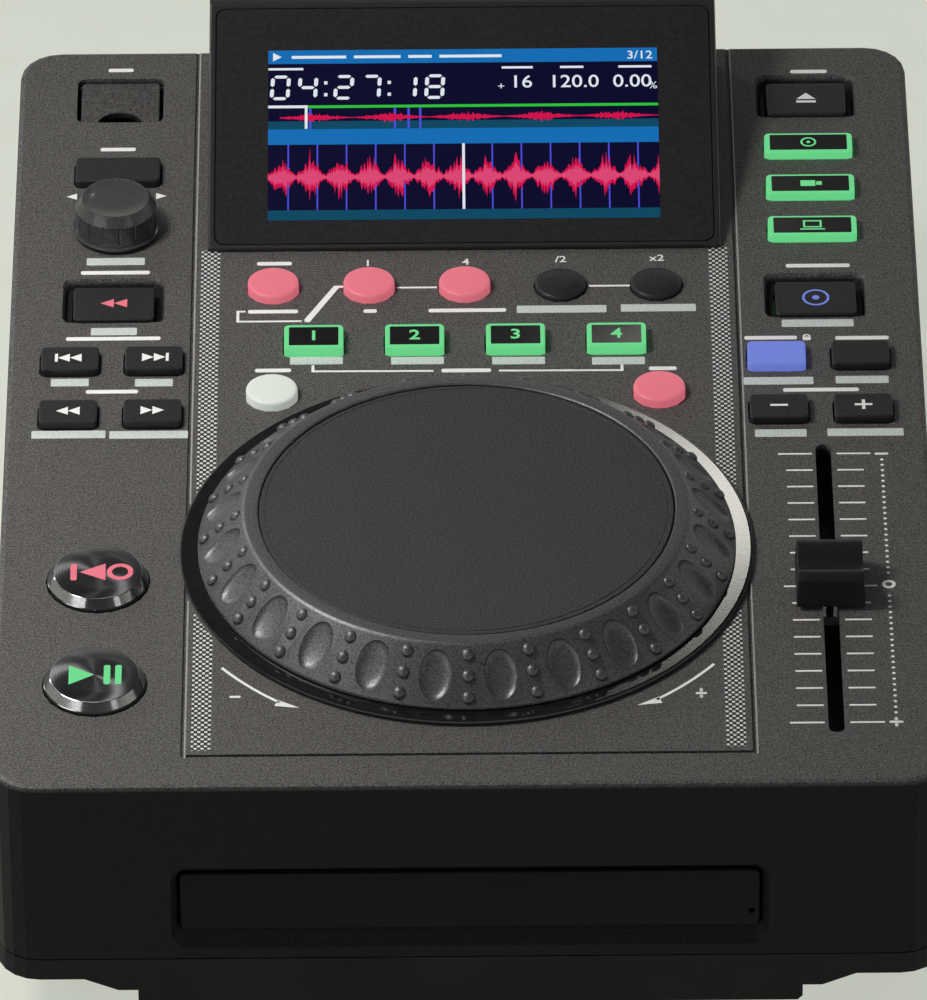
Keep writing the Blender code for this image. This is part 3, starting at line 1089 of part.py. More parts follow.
def disc_tray():
    """The sliding tray with its stepped disc well, the slot for the drive, rear stop lugs and front door."""
    place = (0, TRAY_FRONT, TRAY_BOTTOM)
    bm = bmesh.new()
    half = TRAY_WIDTH / 2
    lug = half + TRAY_LUG_WIDTH
    lug_y = TRAY_LENGTH - TRAY_LUG_LENGTH
    outline = [(half, 0.0), (half, lug_y), (lug, lug_y), (lug, TRAY_LENGTH), (-lug, TRAY_LENGTH),
               (-lug, lug_y), (-half, lug_y), (-half, 0.0)]
    prism(bm, outline, 0.0, TRAY_THICKNESS)
    tray = added("disc_tray", bm, finish("tray_black", BLACK, 0.5), place)
    well_y = TRAY_FRONT_RIM + DISC_WELL_RADIUS
    center = (0.0, well_y)
    well_z = TRAY_THICKNESS - DISC_WELL_SINK
    bm = bmesh.new()
    skin(bm, [
        ring(circle(SMALL_DISC_RADIUS, RING_STEPS), well_z - SMALL_DISC_SINK, center),
        ring(circle(SMALL_DISC_RADIUS, RING_STEPS), well_z, center),
        ring(circle(DISC_WELL_RADIUS, RING_STEPS), well_z, center),
        ring(circle(DISC_WELL_RADIUS, RING_STEPS), TRAY_THICKNESS + OVERRUN, center),
    ])
    combine(tray, bm, "DIFFERENCE", "disc_well")
    bm = bmesh.new()
    slot_length = TRAY_SLOT_FORWARD + TRAY_SLOT_BACK
    slot_y = well_y + (TRAY_SLOT_BACK - TRAY_SLOT_FORWARD) / 2
    prism(bm, rounded_rectangle(TRAY_SLOT_WIDTH, slot_length, TRAY_SLOT_FORWARD, 6), -OVERRUN,
          TRAY_THICKNESS + OVERRUN, (0.0, slot_y))
    combine(tray, bm, "DIFFERENCE", "drive_slot")

    bm = bmesh.new()
    face = rounded_rectangle(DOOR_WIDTH, DOOR_HEIGHT, DOOR_CORNER, 4)
    edge = DOOR_CORNER / 3
    front_face = rounded_rectangle(DOOR_WIDTH - 2 * edge, DOOR_HEIGHT - 2 * edge, DOOR_CORNER - edge, 4)
    door_front = -DOOR_THICKNESS - SEAT_GAP
    middle = (0.0, TRAY_THICKNESS / 2)
    skin(bm, [
        upright_ring(front_face, door_front, middle), upright_ring(face, door_front + edge, middle),
        upright_ring(face, -SEAT_GAP, middle),
    ])
    added("tray_door", bm, finish("door_black", BLACK, 0.5), place)


def drive_frame():
    """The drive's chassis: an open box with ledges for the tray, the motor post and the sled rails."""
    width = DRIVE_WIDTH / 2
    inner = DRIVE_INNER_WIDTH / 2
    back = TRAY_FRONT + TRAY_LENGTH + DRIVE_BEHIND_TRAY
    bm = bmesh.new()
    block(bm, (-width, DRIVE_FRONT, DRIVE_BOTTOM), (width, back, DRIVE_TOP))
    frame = added("drive_frame", bm, finish("frame_steel", (0.45, 0.45, 0.45), 0.4, metallic=1.0))
    bm = bmesh.new()
    block(bm, (-inner, DRIVE_FRONT + DRIVE_WALL, DRIVE_BOTTOM + DRIVE_WALL),
          (inner, back - DRIVE_WALL, DRIVE_TOP + OVERRUN))
    combine(frame, bm, "DIFFERENCE", "hollow")
    bm = bmesh.new()
    pass_width = TRAY_WIDTH / 2 + TRAY_LUG_WIDTH
    block(bm, (-pass_width, DRIVE_FRONT - OVERRUN, TRAY_BOTTOM - SEAT_GAP),
          (pass_width, DRIVE_FRONT + DRIVE_WALL + OVERRUN, DRIVE_TOP + OVERRUN))
    combine(frame, bm, "DIFFERENCE", "front_gate")

    bm = bmesh.new()
    ledge_top = TRAY_BOTTOM - SEAT_GAP
    lip_low = TRAY_TOP + RUNNING_GAP
    for side in (-1, 1):
        x_wall = side * (inner + DRIVE_WALL / 2)
        x_edge = side * (inner - DRIVE_LEDGE_WIDTH)
        low_x, high_x = min(x_wall, x_edge), max(x_wall, x_edge)
        y_front, y_back = DRIVE_FRONT + DRIVE_WALL / 2, back - DRIVE_WALL / 2
        block(bm, (low_x, y_front, ledge_top - DRIVE_LEDGE_THICKNESS), (high_x, y_back, ledge_top))
        block(bm, (low_x, y_front, lip_low), (high_x, y_back, lip_low + DRIVE_LEDGE_THICKNESS / 2))
        rail_x = side * RAIL_SPACING / 2
        block(bm, (rail_x - RAIL_WIDTH / 2, DISC_Y + MOTOR_RADIUS + RAIL_WIDTH, DRIVE_BOTTOM + DRIVE_WALL / 2),
              (rail_x + RAIL_WIDTH / 2, y_back, RAIL_TOP))
    prism(bm, circle(MOTOR_RADIUS, LARGE_STEPS), DRIVE_BOTTOM + DRIVE_WALL / 2, MOTOR_TOP, (0.0, DISC_Y))
    combine(frame, bm, "UNION", "ledges_rails_motor")
    bm = bmesh.new()
    prism(bm, circle(MOTOR_SHAFT_RADIUS + RUNNING_GAP, SMALL_STEPS), MOTOR_TOP - MOTOR_BORE_DEPTH, MOTOR_TOP + OVERRUN,
          (0.0, DISC_Y))
    combine(frame, bm, "DIFFERENCE", "motor_bore")


def disc_turntable():
    shaft = -TURNTABLE_THICKNESS - MOTOR_BORE_DEPTH + RUNNING_GAP
    bm = bmesh.new()
    turned(bm, [
        (0.0, shaft), (MOTOR_SHAFT_RADIUS, shaft), (MOTOR_SHAFT_RADIUS, -TURNTABLE_THICKNESS),
        (TURNTABLE_RADIUS, -TURNTABLE_THICKNESS), (TURNTABLE_RADIUS, 0.0),
        (TURNTABLE_CONE_RADIUS, 0.0), (TURNTABLE_CONE_RADIUS / 2, TURNTABLE_CONE_HEIGHT),
        (0.0, TURNTABLE_CONE_HEIGHT),
    ], SHAFT_STEPS, bored=False)
    added("disc_turntable", bm, finish("turntable_black", BLACK, 0.5), (0, DISC_Y, TURNTABLE_TOP))


def laser_sled():
    """The laser's carriage, notched over the rails, with its lens."""
    bm = bmesh.new()
    prism(bm, rectangle(SLED_WIDTH, SLED_LENGTH), 0.0, SLED_THICKNESS)
    sled = added("laser_sled", bm, finish("sled_metal", (0.35, 0.35, 0.36), 0.45, metallic=0.8),
                 (0, SLED_Y, SLED_BOTTOM))
    bm = bmesh.new()
    prism(bm, circle(SLED_LENS_RADIUS, SHAFT_STEPS), SLED_THICKNESS / 2, SLED_THICKNESS + SLED_LENS_HEIGHT)
    combine(sled, bm, "UNION", "lens")
    bm = bmesh.new()
    notch = RAIL_WIDTH / 2 + RUNNING_GAP
    for x in (-RAIL_SPACING / 2, RAIL_SPACING / 2):
        block(bm, (x - notch, -SLED_LENGTH / 2 - OVERRUN, -OVERRUN),
              (x + notch, SLED_LENGTH / 2 + OVERRUN, SLED_NOTCH_DEPTH))
    combine(sled, bm, "DIFFERENCE", "rail_notches")


def rear_bay():
    """The recessed tray of sheet that carries the connectors, with a hole for each."""
    bm = bmesh.new()
    gap = 2 * SEAT_GAP
    inner_y = BAY_MOUTH_Y - WALL - SEAT_GAP
    flange = rectangle(BAY_WIDTH + 2 * BAY_FLANGE, BAY_HEIGHT + 2 * BAY_FLANGE)
    tray = rectangle(BAY_WIDTH - gap, BAY_HEIGHT - gap)
    center = (0.0, BAY_Z)
    skin(bm, [
        upright_ring(tray, BAY_FLOOR_Y - BAY_SHEET, center),
        upright_ring(tray, inner_y - BAY_SHEET, center),
        upright_ring(flange, inner_y - BAY_SHEET, center),
        upright_ring(flange, inner_y, center),
    ])
    bay = added("rear_panel", bm, finish("rear_sheet", (0.05, 0.05, 0.05), 0.5))
    bm = bmesh.new()
    pan = rectangle(BAY_WIDTH - gap - 2 * BAY_SHEET, BAY_HEIGHT - gap - 2 * BAY_SHEET)
    upright_prism(bm, pan, BAY_FLOOR_Y, BAY_MOUTH_Y + OVERRUN, center)
    combine(bay, bm, "DIFFERENCE", "pan")
    bm = bmesh.new()
    near, far = BAY_FLOOR_Y - BAY_SHEET - OVERRUN, BAY_FLOOR_Y + OVERRUN
    upright_prism(bm, rectangle(INLET_WIDTH + gap, INLET_HEIGHT + gap), near, far, (INLET_X, BAY_Z))
    upright_prism(bm, rectangle(ROCKER_WIDTH + 2 * RUNNING_GAP, ROCKER_HEIGHT + 2 * RUNNING_GAP), near, far,
                  (ROCKER_X, BAY_Z))
    upright_prism(bm, usb_outline(SEAT_GAP), near, far, (USB_X, BAY_Z))
    for side in (-1, 1):
        upright_prism(bm, circle(AUDIO_BARREL_RADIUS + SEAT_GAP, LARGE_STEPS), near, far,
                      (AUDIO_X + side * AUDIO_PITCH / 2, BAY_Z))
    combine(bay, bm, "DIFFERENCE", "connector_holes")


def usb_outline(grow=0.0):
    """The square socket's outline, with its two upper corners cut off."""
    x, z, cut = USB_WIDTH / 2 + grow, USB_HEIGHT / 2 + grow, USB_CHAMFER
    return [(-x, -z), (x, -z), (x, z - cut), (x - cut, z), (-x + cut, z), (-x, z - cut)]


def mains_inlet():
    """A two-pin inlet: a flanged body with an open socket and its pins."""
    floor = BAY_FLOOR_Y - BAY_SHEET
    face = BAY_FLOOR_Y + INLET_LIP
    center = (INLET_X, BAY_Z)
    bm = bmesh.new()
    upright_prism(bm, rectangle(INLET_WIDTH, INLET_HEIGHT), face - INLET_DEPTH, face, center)
    inlet = added("mains_inlet", bm, finish("inlet_black", BLACK, 0.5))
    bm = bmesh.new()
    stop_width = INLET_WIDTH + 2 * INLET_LIP
    upright_prism(bm, rectangle(stop_width, INLET_HEIGHT - 2 * SEAT_GAP), floor - SEAT_GAP - INLET_LIP,
                  floor - SEAT_GAP, center)
    combine(inlet, bm, "UNION", "stop")
    bm = bmesh.new()
    round_end = INLET_CAVITY_HEIGHT / 2
    cavity = rounded_rectangle(INLET_CAVITY_WIDTH, INLET_CAVITY_HEIGHT, round_end, 5)
    upright_prism(bm, cavity, face - INLET_CAVITY_DEPTH, face + OVERRUN, center)
    combine(inlet, bm, "DIFFERENCE", "cavity")
    bm = bmesh.new()
    root = face - INLET_CAVITY_DEPTH
    for side in (-1, 1):
        upright_prism(bm, circle(INLET_PIN_RADIUS, BAR_STEPS), root - OVERRUN, root + INLET_PIN_LENGTH,
                      (INLET_X + side * INLET_PIN_SPACING / 2, BAY_Z))
    combine(inlet, bm, "UNION", "pins")


def power_rocker():
    """The mains switch's rocker, which tips about a cross axis in the bay's floor."""
    half = ROCKER_HEIGHT / 2
    dip = half * math.sin(ROCKER_SWING / 2)
    section = [(-ROCKER_DEPTH, -half * math.cos(ROCKER_SWING)), (ROCKER_STAND - dip, -half),
               (ROCKER_STAND / 2, 0.0), (ROCKER_STAND - dip, half),
               (-ROCKER_DEPTH, half * math.cos(ROCKER_SWING))]
    bm = bmesh.new()
    half_width = ROCKER_WIDTH / 2
    skin(bm, [[(-half_width, y, z) for y, z in section], [(half_width, y, z) for y, z in section]])
    added("power_rocker", bm, finish("rocker_black", BLACK, 0.4), (ROCKER_X, BAY_FLOOR_Y, BAY_Z))


def usb_rear_socket():
    """The square socket for the computer lead."""
    face = BAY_FLOOR_Y + USB_STAND
    bm = bmesh.new()
    upright_prism(bm, usb_outline(), face - USB_DEPTH, face, (USB_X, BAY_Z))
    socket = added("usb_rear_socket", bm, finish("usb_steel", (0.6, 0.6, 0.6), 0.3, metallic=1.0))
    bm = bmesh.new()
    upright_prism(bm, usb_outline(-USB_WALL), face - USB_BORE_DEPTH, face + OVERRUN, (USB_X, BAY_Z))
    combine(socket, bm, "DIFFERENCE", "mouth")
    bm = bmesh.new()
    upright_prism(bm, rectangle(USB_TONGUE_WIDTH, USB_TONGUE_HEIGHT), face - USB_BORE_DEPTH - OVERRUN,
                  face - OVERRUN, (USB_X, BAY_Z))
    combine(socket, bm, "UNION", "tongue")


def audio_sockets():
    """Two phono sockets, left and right, on one moulded body behind the bay's floor."""
    back = BAY_FLOOR_Y - BAY_SHEET - SEAT_GAP
    width = AUDIO_PITCH + 2 * (AUDIO_BARREL_RADIUS + AUDIO_BODY_MARGIN)
    bm = bmesh.new()
    upright_prism(bm, rectangle(width, AUDIO_BODY_HEIGHT), back - AUDIO_BODY_DEPTH, back, (AUDIO_X, BAY_Z))
    body = added("audio_sockets", bm, finish("phono_body", (0.05, 0.05, 0.05), 0.5))
    barrels = bmesh.new()
    bores = bmesh.new()
    tip = BAY_FLOOR_Y + AUDIO_BARREL_LENGTH
    for side in (-1, 1):
        place = (AUDIO_X + side * AUDIO_PITCH / 2, BAY_Z)
        upright_prism(barrels, circle(AUDIO_BARREL_RADIUS, LARGE_STEPS), back - OVERRUN, tip, place)
        upright_prism(bores, circle(AUDIO_BORE_RADIUS, SMALL_STEPS), tip - AUDIO_BORE_DEPTH, tip + OVERRUN, place)
    combine(body, barrels, "UNION", "barrels")
    combine(body, bores, "DIFFERENCE", "bores")


def main():
    clear_scene()
    keys = key_table()
    top_case(keys)
    bottom_case()
    feet()
    jog_base()
    jog_spindle()
    jog_wheel()
    jog_top_plate()
    control_board(keys)
    for key in keys:
        button(key)
    browse_knob()
    pitch_fader()
    display()
    stick_door_and_socket()
    disc_tray()
    drive_frame()
    disc_turntable()
    laser_sled()
    rear_bay()
    mains_inlet()
    power_rocker()
    usb_rear_socket()
    audio_sockets()


main()
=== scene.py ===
"""The look of a tabletop disc player for DJs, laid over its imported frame. Metres, +Z up, Y to the back."""
import json
import math

import bpy
from mathutils import Matrix, Vector, noise


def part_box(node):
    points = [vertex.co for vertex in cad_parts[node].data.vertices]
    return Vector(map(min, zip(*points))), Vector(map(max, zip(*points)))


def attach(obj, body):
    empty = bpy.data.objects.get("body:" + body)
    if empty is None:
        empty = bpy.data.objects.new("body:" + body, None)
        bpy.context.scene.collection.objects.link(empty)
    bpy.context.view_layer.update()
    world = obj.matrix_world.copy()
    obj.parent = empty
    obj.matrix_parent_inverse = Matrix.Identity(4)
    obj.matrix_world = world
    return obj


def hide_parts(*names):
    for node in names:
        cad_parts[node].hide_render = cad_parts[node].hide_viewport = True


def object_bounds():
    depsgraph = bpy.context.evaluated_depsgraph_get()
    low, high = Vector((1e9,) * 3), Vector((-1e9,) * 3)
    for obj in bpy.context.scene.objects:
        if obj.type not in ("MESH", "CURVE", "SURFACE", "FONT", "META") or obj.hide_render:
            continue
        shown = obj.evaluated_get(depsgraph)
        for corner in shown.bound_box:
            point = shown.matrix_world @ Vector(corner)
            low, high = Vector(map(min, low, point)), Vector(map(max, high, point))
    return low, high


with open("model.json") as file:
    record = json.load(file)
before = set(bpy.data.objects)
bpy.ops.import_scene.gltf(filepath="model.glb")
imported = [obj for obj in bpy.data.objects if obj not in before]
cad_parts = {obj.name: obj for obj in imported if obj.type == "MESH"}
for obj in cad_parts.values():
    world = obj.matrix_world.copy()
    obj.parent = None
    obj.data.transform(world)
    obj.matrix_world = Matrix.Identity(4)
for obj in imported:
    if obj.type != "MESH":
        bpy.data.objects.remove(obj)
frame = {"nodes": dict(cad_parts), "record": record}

cad_low, cad_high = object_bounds()
MM = 0.001
TINY = 0.01 * MM
BACKWARD = Matrix.Rotation(-math.pi / 2, 4, "X")

# Places read off the frame
FRONT = cad_low.y
DECK_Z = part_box("top_case")[1].z
JOG_LOW, JOG_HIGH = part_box("jog_wheel")
JOG_X, JOG_Y = (JOG_LOW.x + JOG_HIGH.x) / 2, (JOG_LOW.y + JOG_HIGH.y) / 2
HOUSING_LOW, HOUSING_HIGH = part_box("display_housing")

# Camera, fitted to the edges of the real case
CAMERA_PLACE = (-0.0007, -2.2314, 1.7199)
CAMERA_DOWN = math.radians(36.83)
CAMERA_ROLL = math.radians(-0.473)
CAMERA_LENS = 420.4
CAMERA_SENSOR = 36.0


# ---- Modelling ----
def fresh():
    """Leave nothing selected, so that the next primitive stands alone."""
    bpy.ops.object.select_all(action="DESELECT")


def named(name):
    """Name the new object and put its place into its mesh."""
    piece = bpy.context.object
    piece.name = piece.data.name = name
    bpy.ops.object.transform_apply(location=True, rotation=True, scale=True)
    return piece


def pick(piece, kind, wanted):
    """In edit mode, select only the faces, edges or points whose corners pass a test."""
    bpy.ops.object.mode_set(mode="OBJECT")
    kinds = ("VERT", "EDGE", "FACE")
    bpy.context.tool_settings.mesh_select_mode = [kind == each for each in kinds]
    mesh = piece.data
    groups = (mesh.vertices, mesh.edges, mesh.polygons)
    for group in groups:
        group.foreach_set("select", [False] * len(group))
    for part in groups[kinds.index(kind)]:
        corners = [part.co] if kind == "VERT" else [mesh.vertices[i].co for i in part.vertices]
        part.select = bool(wanted(corners))
    bpy.ops.object.mode_set(mode="EDIT")


def block(name, low, high, corner=0.0, edge=0.0, along=2, side=1, corner_steps=6, edge_steps=3):
    """A box with its four long edges rounded, then the rim of one end. It stands along an axis."""
    low, high = Vector(low), Vector(high)
    size = high - low
    fresh()
    bpy.ops.mesh.primitive_cube_add(size=1, location=(low + high) / 2, scale=size)
    piece = named(name)
    if corner:
        pick(piece, "EDGE", lambda c: abs(c[0][along] - c[1][along]) > size[along] / 2)
        bpy.ops.mesh.bevel(offset=corner, segments=corner_steps, affect="EDGES")
    if edge:
        end = high[along] if side > 0 else low[along]
        pick(piece, "EDGE", lambda c: all(abs(p[along] - end) < TINY for p in c))
        bpy.ops.mesh.bevel(offset=edge, segments=edge_steps, affect="EDGES")
    bpy.ops.object.mode_set(mode="OBJECT")
    return piece


def turned(name, center, rows, sides, hole=False):
    """A circle drawn up through rows of radius and height. One with a hole closes on itself."""
    x, y, z = center
    radius, height = rows[0]
    fresh()
    bpy.ops.mesh.primitive_circle_add(vertices=sides, radius=radius, location=(x, y, z + height),
                                      fill_type="NOTHING" if hole else "NGON")
    piece = named(name)
    bpy.ops.object.mode_set(mode="EDIT")
    bpy.ops.mesh.select_all(action="SELECT")
    for (near, low), (far, high) in zip(rows, rows[1:]):
        bpy.ops.mesh.extrude_region_move(TRANSFORM_OT_translate={"value": (0, 0, high - low)})
        bpy.ops.transform.resize(value=(far / near, far / near, 1), center_override=(x, y, z + high))
    if hole:
        bpy.ops.mesh.select_all(action="SELECT")
        bpy.ops.mesh.remove_doubles(threshold=TINY / 2)
    bpy.ops.object.mode_set(mode="OBJECT")
    return piece


def flat(outline, lift=0.0):
    """A flat shape from an outline in metres, laid at a height."""
    fresh()
    bpy.ops.mesh.primitive_circle_add(vertices=len(outline), fill_type="NGON")
    piece = named("mark")
    for point, (x, y) in zip(piece.data.vertices, outline):
        point.co = (x, y, lift)
    return piece


def joined(name, pieces):
    """Several pieces made one."""
    fresh()
    for piece in pieces:
        piece.select_set(True)
    bpy.context.view_layer.objects.active = pieces[0]
    if len(pieces) > 1:
        bpy.ops.object.join()
    return named(name)


def combined(piece, tool, operation):
    """Cut or join a piece with another, which is used up."""
    modifier = piece.modifiers.new("combine", "BOOLEAN")
    modifier.operation = operation
    modifier.solver = "EXACT"
    modifier.object = tool
    fresh()
    piece.select_set(True)
    bpy.context.view_layer.objects.active = piece
    bpy.ops.object.modifier_apply(modifier=modifier.name)
    bpy.data.objects.remove(tool, do_unlink=True)


def done(piece, body, stuff, stands_for=(), angle=30):
    """Turn the faces out, smooth the shading and hand a finished piece to the frame."""
    fresh()
    piece.select_set(True)
    bpy.context.view_layer.objects.active = piece
    bpy.ops.object.mode_set(mode="EDIT")
    bpy.ops.mesh.select_all(action="SELECT")
    bpy.ops.mesh.normals_make_consistent(inside=False)
    bpy.ops.object.mode_set(mode="OBJECT")
    bpy.ops.object.shade_smooth_by_angle(angle=math.radians(angle))
    piece.data.materials.clear()
    piece.data.materials.append(stuff)
    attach(piece, body)
    if stands_for:
        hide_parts(*stands_for)
    return piece


# ---- Materials ----
def tint(code):
    """A colour written in sRGB hex, as linear numbers."""
    channels = [int(code[i:i + 2], 16) / 255 for i in (1, 3, 5)]
    return (*[c / 12.92 if c <= 0.04045 else ((c + 0.055) / 1.055) ** 2.4 for c in channels], 1.0)


def add(tree, kind, inputs=None, **settings):
    """Add a node with its settings, and set or link its inputs."""
    made = tree.nodes.new("ShaderNode" + kind)
    for field, value in settings.items():
        setattr(made, field, value)
    for socket, value in (inputs or {}).items():
        if isinstance(value, bpy.types.NodeSocket):
            tree.links.new(value, made.inputs[socket])
        else:
            made.inputs[socket].default_value = value
    return made


def start(name, **sockets):
    """A new material: its tree, its shader with the named sockets set, and the object coordinates."""
    made = bpy.data.materials.new(name)
    made.use_nodes = True
    tree = made.node_tree
    shader = tree.nodes["Principled BSDF"]
    for socket, value in sockets.items():
        shader.inputs[socket.replace("_", " ")].default_value = value
    return made, tree, shader, add(tree, "TexCoord").outputs["Object"]


def grained(name, dark, light, grain, bump, smooth, rough, coat=0.0, metal=0.0, ior=1.5, glow=None, power=0.0):
    """A moulded, painted or cast surface: a grain of two shades, uneven gloss and a fine relief. Sizes in mm."""
    made, tree, shader, spot = start(name, Metallic=metal, IOR=ior, Coat_Weight=coat, Coat_Roughness=0.08)
    fine = add(tree, "TexNoise", {"Vector": spot, "Scale": 1 / (grain * MM), "Detail": 1.0, "Roughness": 0.6})
    broad = add(tree, "TexNoise", {"Vector": spot, "Scale": 1 / (60 * grain * MM), "Detail": 3.0})
    spread = add(tree, "MapRange", {"Value": fine.outputs["Fac"], "From Min": 0.28, "From Max": 0.72})
    color = add(tree, "Mix", {"Factor": spread.outputs[0], "A": tint(dark), "B": tint(light)}, data_type="RGBA")
    gloss = add(tree, "MapRange", {"Value": broad.outputs["Fac"], "From Min": 0.3, "From Max": 0.7,
                                   "To Min": smooth, "To Max": rough})
    relief = add(tree, "Bump", {"Height": fine.outputs["Fac"], "Distance": bump * MM, "Strength": 1.0})
    tree.links.new(color.outputs["Result"], shader.inputs["Base Color"])
    tree.links.new(gloss.outputs[0], shader.inputs["Roughness"])
    tree.links.new(relief.outputs[0], shader.inputs["Normal"])
    if glow:
        shader.inputs["Emission Color"].default_value = tint(glow)
        shader.inputs["Emission Strength"].default_value = power
    return made


def deck_finish():
    """ABS moulded against a spark-eroded steel face: a pebble with pale tips on the deck. The skirt and the
    sunk pockets come out smoother, with less sheen, and are painted nearly black: painted shade."""
    made, tree, shader, spot = start("abs_charcoal_spark_textured", IOR=1.5)
    pebble = add(tree, "TexNoise", {"Vector": spot, "Scale": 1 / (0.5 * MM), "Detail": 1.0, "Roughness": 0.7})
    flecks = add(tree, "TexNoise", {"Vector": spot, "Scale": 1 / (1.6 * MM), "Detail": 4.0, "Roughness": 0.8})
    mixed = add(tree, "Mix", {"Factor": 0.25, "A": pebble.outputs["Fac"], "B": flecks.outputs["Fac"]})
    spread = add(tree, "MapRange", {"Value": mixed.outputs["Result"], "From Min": 0.33, "From Max": 0.69})
    # Two pairs of shades: the nearly black pair is painted shade for the skirt and sunk pockets, the paler pair is
    # the deck's own grain.
    shades = [add(tree, "Mix", {"Factor": spread.outputs[0], "A": tint(dark), "B": tint(light)}, data_type="RGBA")
              for dark, light in (("#131213", "#2E2C2D"), ("#1F1D1D", "#6E6C6A"))]
    # A mask by height: below the deck the colour blends into the painted shade.
    place = add(tree, "SeparateXYZ", {"Vector": spot})
    height = add(tree, "MapRange", {"Value": place.outputs["Z"], "From Min": DECK_Z - 1.5 * MM,
                                    "From Max": DECK_Z - 0.5 * MM})
    color = add(tree, "Mix", {"Factor": height.outputs[0], "A": shades[0].outputs["Result"],
                              "B": shades[1].outputs["Result"]}, data_type="RGBA")
    gloss = add(tree, "MapRange", {"Value": height.outputs[0], "To Min": 0.5, "To Max": 0.58})
    sheen = add(tree, "MapRange", {"Value": height.outputs[0], "To Min": 0.12, "To Max": 0.5})
    tree.links.new(sheen.outputs[0], shader.inputs["Specular IOR Level"])
    relief = add(tree, "Bump", {"Height": pebble.outputs["Fac"], "Distance": 0.05 * MM})
    tree.links.new(color.outputs["Result"], shader.inputs["Base Color"])
    tree.links.new(gloss.outputs[0], shader.inputs["Roughness"])
    tree.links.new(relief.outputs[0], shader.inputs["Normal"])
    return made


deck_abs = deck_finish()
# The same plastic in a paler line along the groove walls: a painted highlight where light catches the walls.
groove_highlight_abs = grained("abs_charcoal_groove_painted_highlight", "#8C8C8A", "#B4B4B0", 0.6, 0.01, 0.25, 0.4)
# ABS with a satin moulded face, nearly black.
satin_abs = grained("abs_black_satin_moulded", "#141314", "#262526", 0.5, 0.015, 0.36, 0.48, ior=1.3)
# The tray door: the same, etched duller.
door_abs = grained("abs_black_etched", "#0C0B0C", "#1A191A", 0.5, 0.02, 0.45, 0.55, ior=1.22)
# ABS, lower shell: a coarser dull texture that stays dark.
shell_abs = grained("abs_black_dull_moulded", "#0E0E0F", "#1E1D1F", 0.6, 0.04, 0.55, 0.7, ior=1.3)
# Polycarbonate with a polished face: deep black with sharp reflections and faint swirls.
gloss_pc = grained("polycarbonate_black_polished", "#121112", "#1A191A", 2.0, 0.002, 0.05, 0.14, coat=0.4)
# The same, smoked, over the screen.
lens_pc = grained("polycarbonate_black_window", "#242324", "#2C2B2C", 1.2, 0.0, 0.12, 0.2)
# ABS of the display housing, lacquered: black with a soft sheen.
housing_abs = grained("abs_black_lacquered", "#232223", "#2D2C2D", 0.8, 0.004, 0.28, 0.36)
# Key caps: moulded ABS with a soft-touch coat, a little paler than the shell.
key_abs = grained("abs_key_soft_touch", "#1E1D1E", "#323132", 0.45, 0.01, 0.34, 0.46, ior=1.34)
# The knob: moulded ABS, its mould polished.
knob_abs = grained("abs_knob_moulded", "#343334", "#4A4949", 0.5, 0.006, 0.24, 0.32, coat=0.25, ior=1.36)
# The jog wheel: ABS sprayed with a metallic satin paint.
wheel_paint = grained("abs_wheel_metallic_painted", "#48484B", "#727275", 0.45, 0.012, 0.38, 0.46, metal=0.6)
# The wheel's top: PVC sheet embossed with a fine pebble.
plate_pvc = grained("pvc_sheet_embossed", "#171516", "#403E3F", 0.55, 0.05, 0.55, 0.66)
# Rubber feet, moulded.
foot_rubber = grained("rubber_black_moulded", "#131313", "#1F1F1F", 0.8, 0.05, 0.7, 0.85)
# Screen print: white ink, and the greyer ink of the second-function strips.
white_ink = grained("ink_white_screen_printed", "#EAEAE8", "#FCFCFA", 0.3, 0.004, 0.5, 0.6)
grey_ink = grained("ink_grey_screen_printed", "#BEC5C2", "#DCE3DF", 0.5, 0.004, 0.5, 0.6)
# Lit keys: translucent silicone and polycarbonate over lamps.
lit_red = grained("polycarbonate_red_lit", "#944A55", "#A4525E", 0.4, 0.004, 0.4, 0.5,
                  glow="#DE7080", power=0.68)
lit_green = grained("polycarbonate_green_lit", "#28623A", "#307044", 0.4, 0.004, 0.35, 0.45,
                    glow="#66CE86", power=0.92)
lit_white = grained("silicone_white_lit", "#AEB2AC", "#BCC0BA", 0.4, 0.004, 0.4, 0.5,
                    glow="#DCE1DA", power=0.42)
lit_violet = grained("polycarbonate_violet_lit", "#3A4474", "#424C80", 0.4, 0.004, 0.4, 0.5,
                     glow="#6C7ED4", power=0.78)
# Metals: cold-rolled steel, tinned steel of the sockets, powder-coated sheet of the bay.
steel = grained("steel_cold_rolled", "#8E9092", "#A6A8AA", 0.6, 0.01, 0.28, 0.4, metal=1.0)
tinned = grained("steel_tin_plated", "#B0B2B4", "#C8CACC", 0.5, 0.004, 0.18, 0.3, metal=1.0)
# The diamond-cut chamfer round the two large keys.
dark_chrome = grained("aluminium_dark_polished", "#8A8A8C", "#9A9A9C", 0.6, 0.0, 0.08, 0.14, metal=1.0)
bay_steel = grained("steel_black_powder_coated", "#141415", "#242426", 0.5, 0.04, 0.5, 0.62)
# Fibreglass board under green solder mask.
board_mask = grained("fibreglass_solder_masked", "#0E4A26", "#145E32", 1.2, 0.02, 0.25, 0.4)


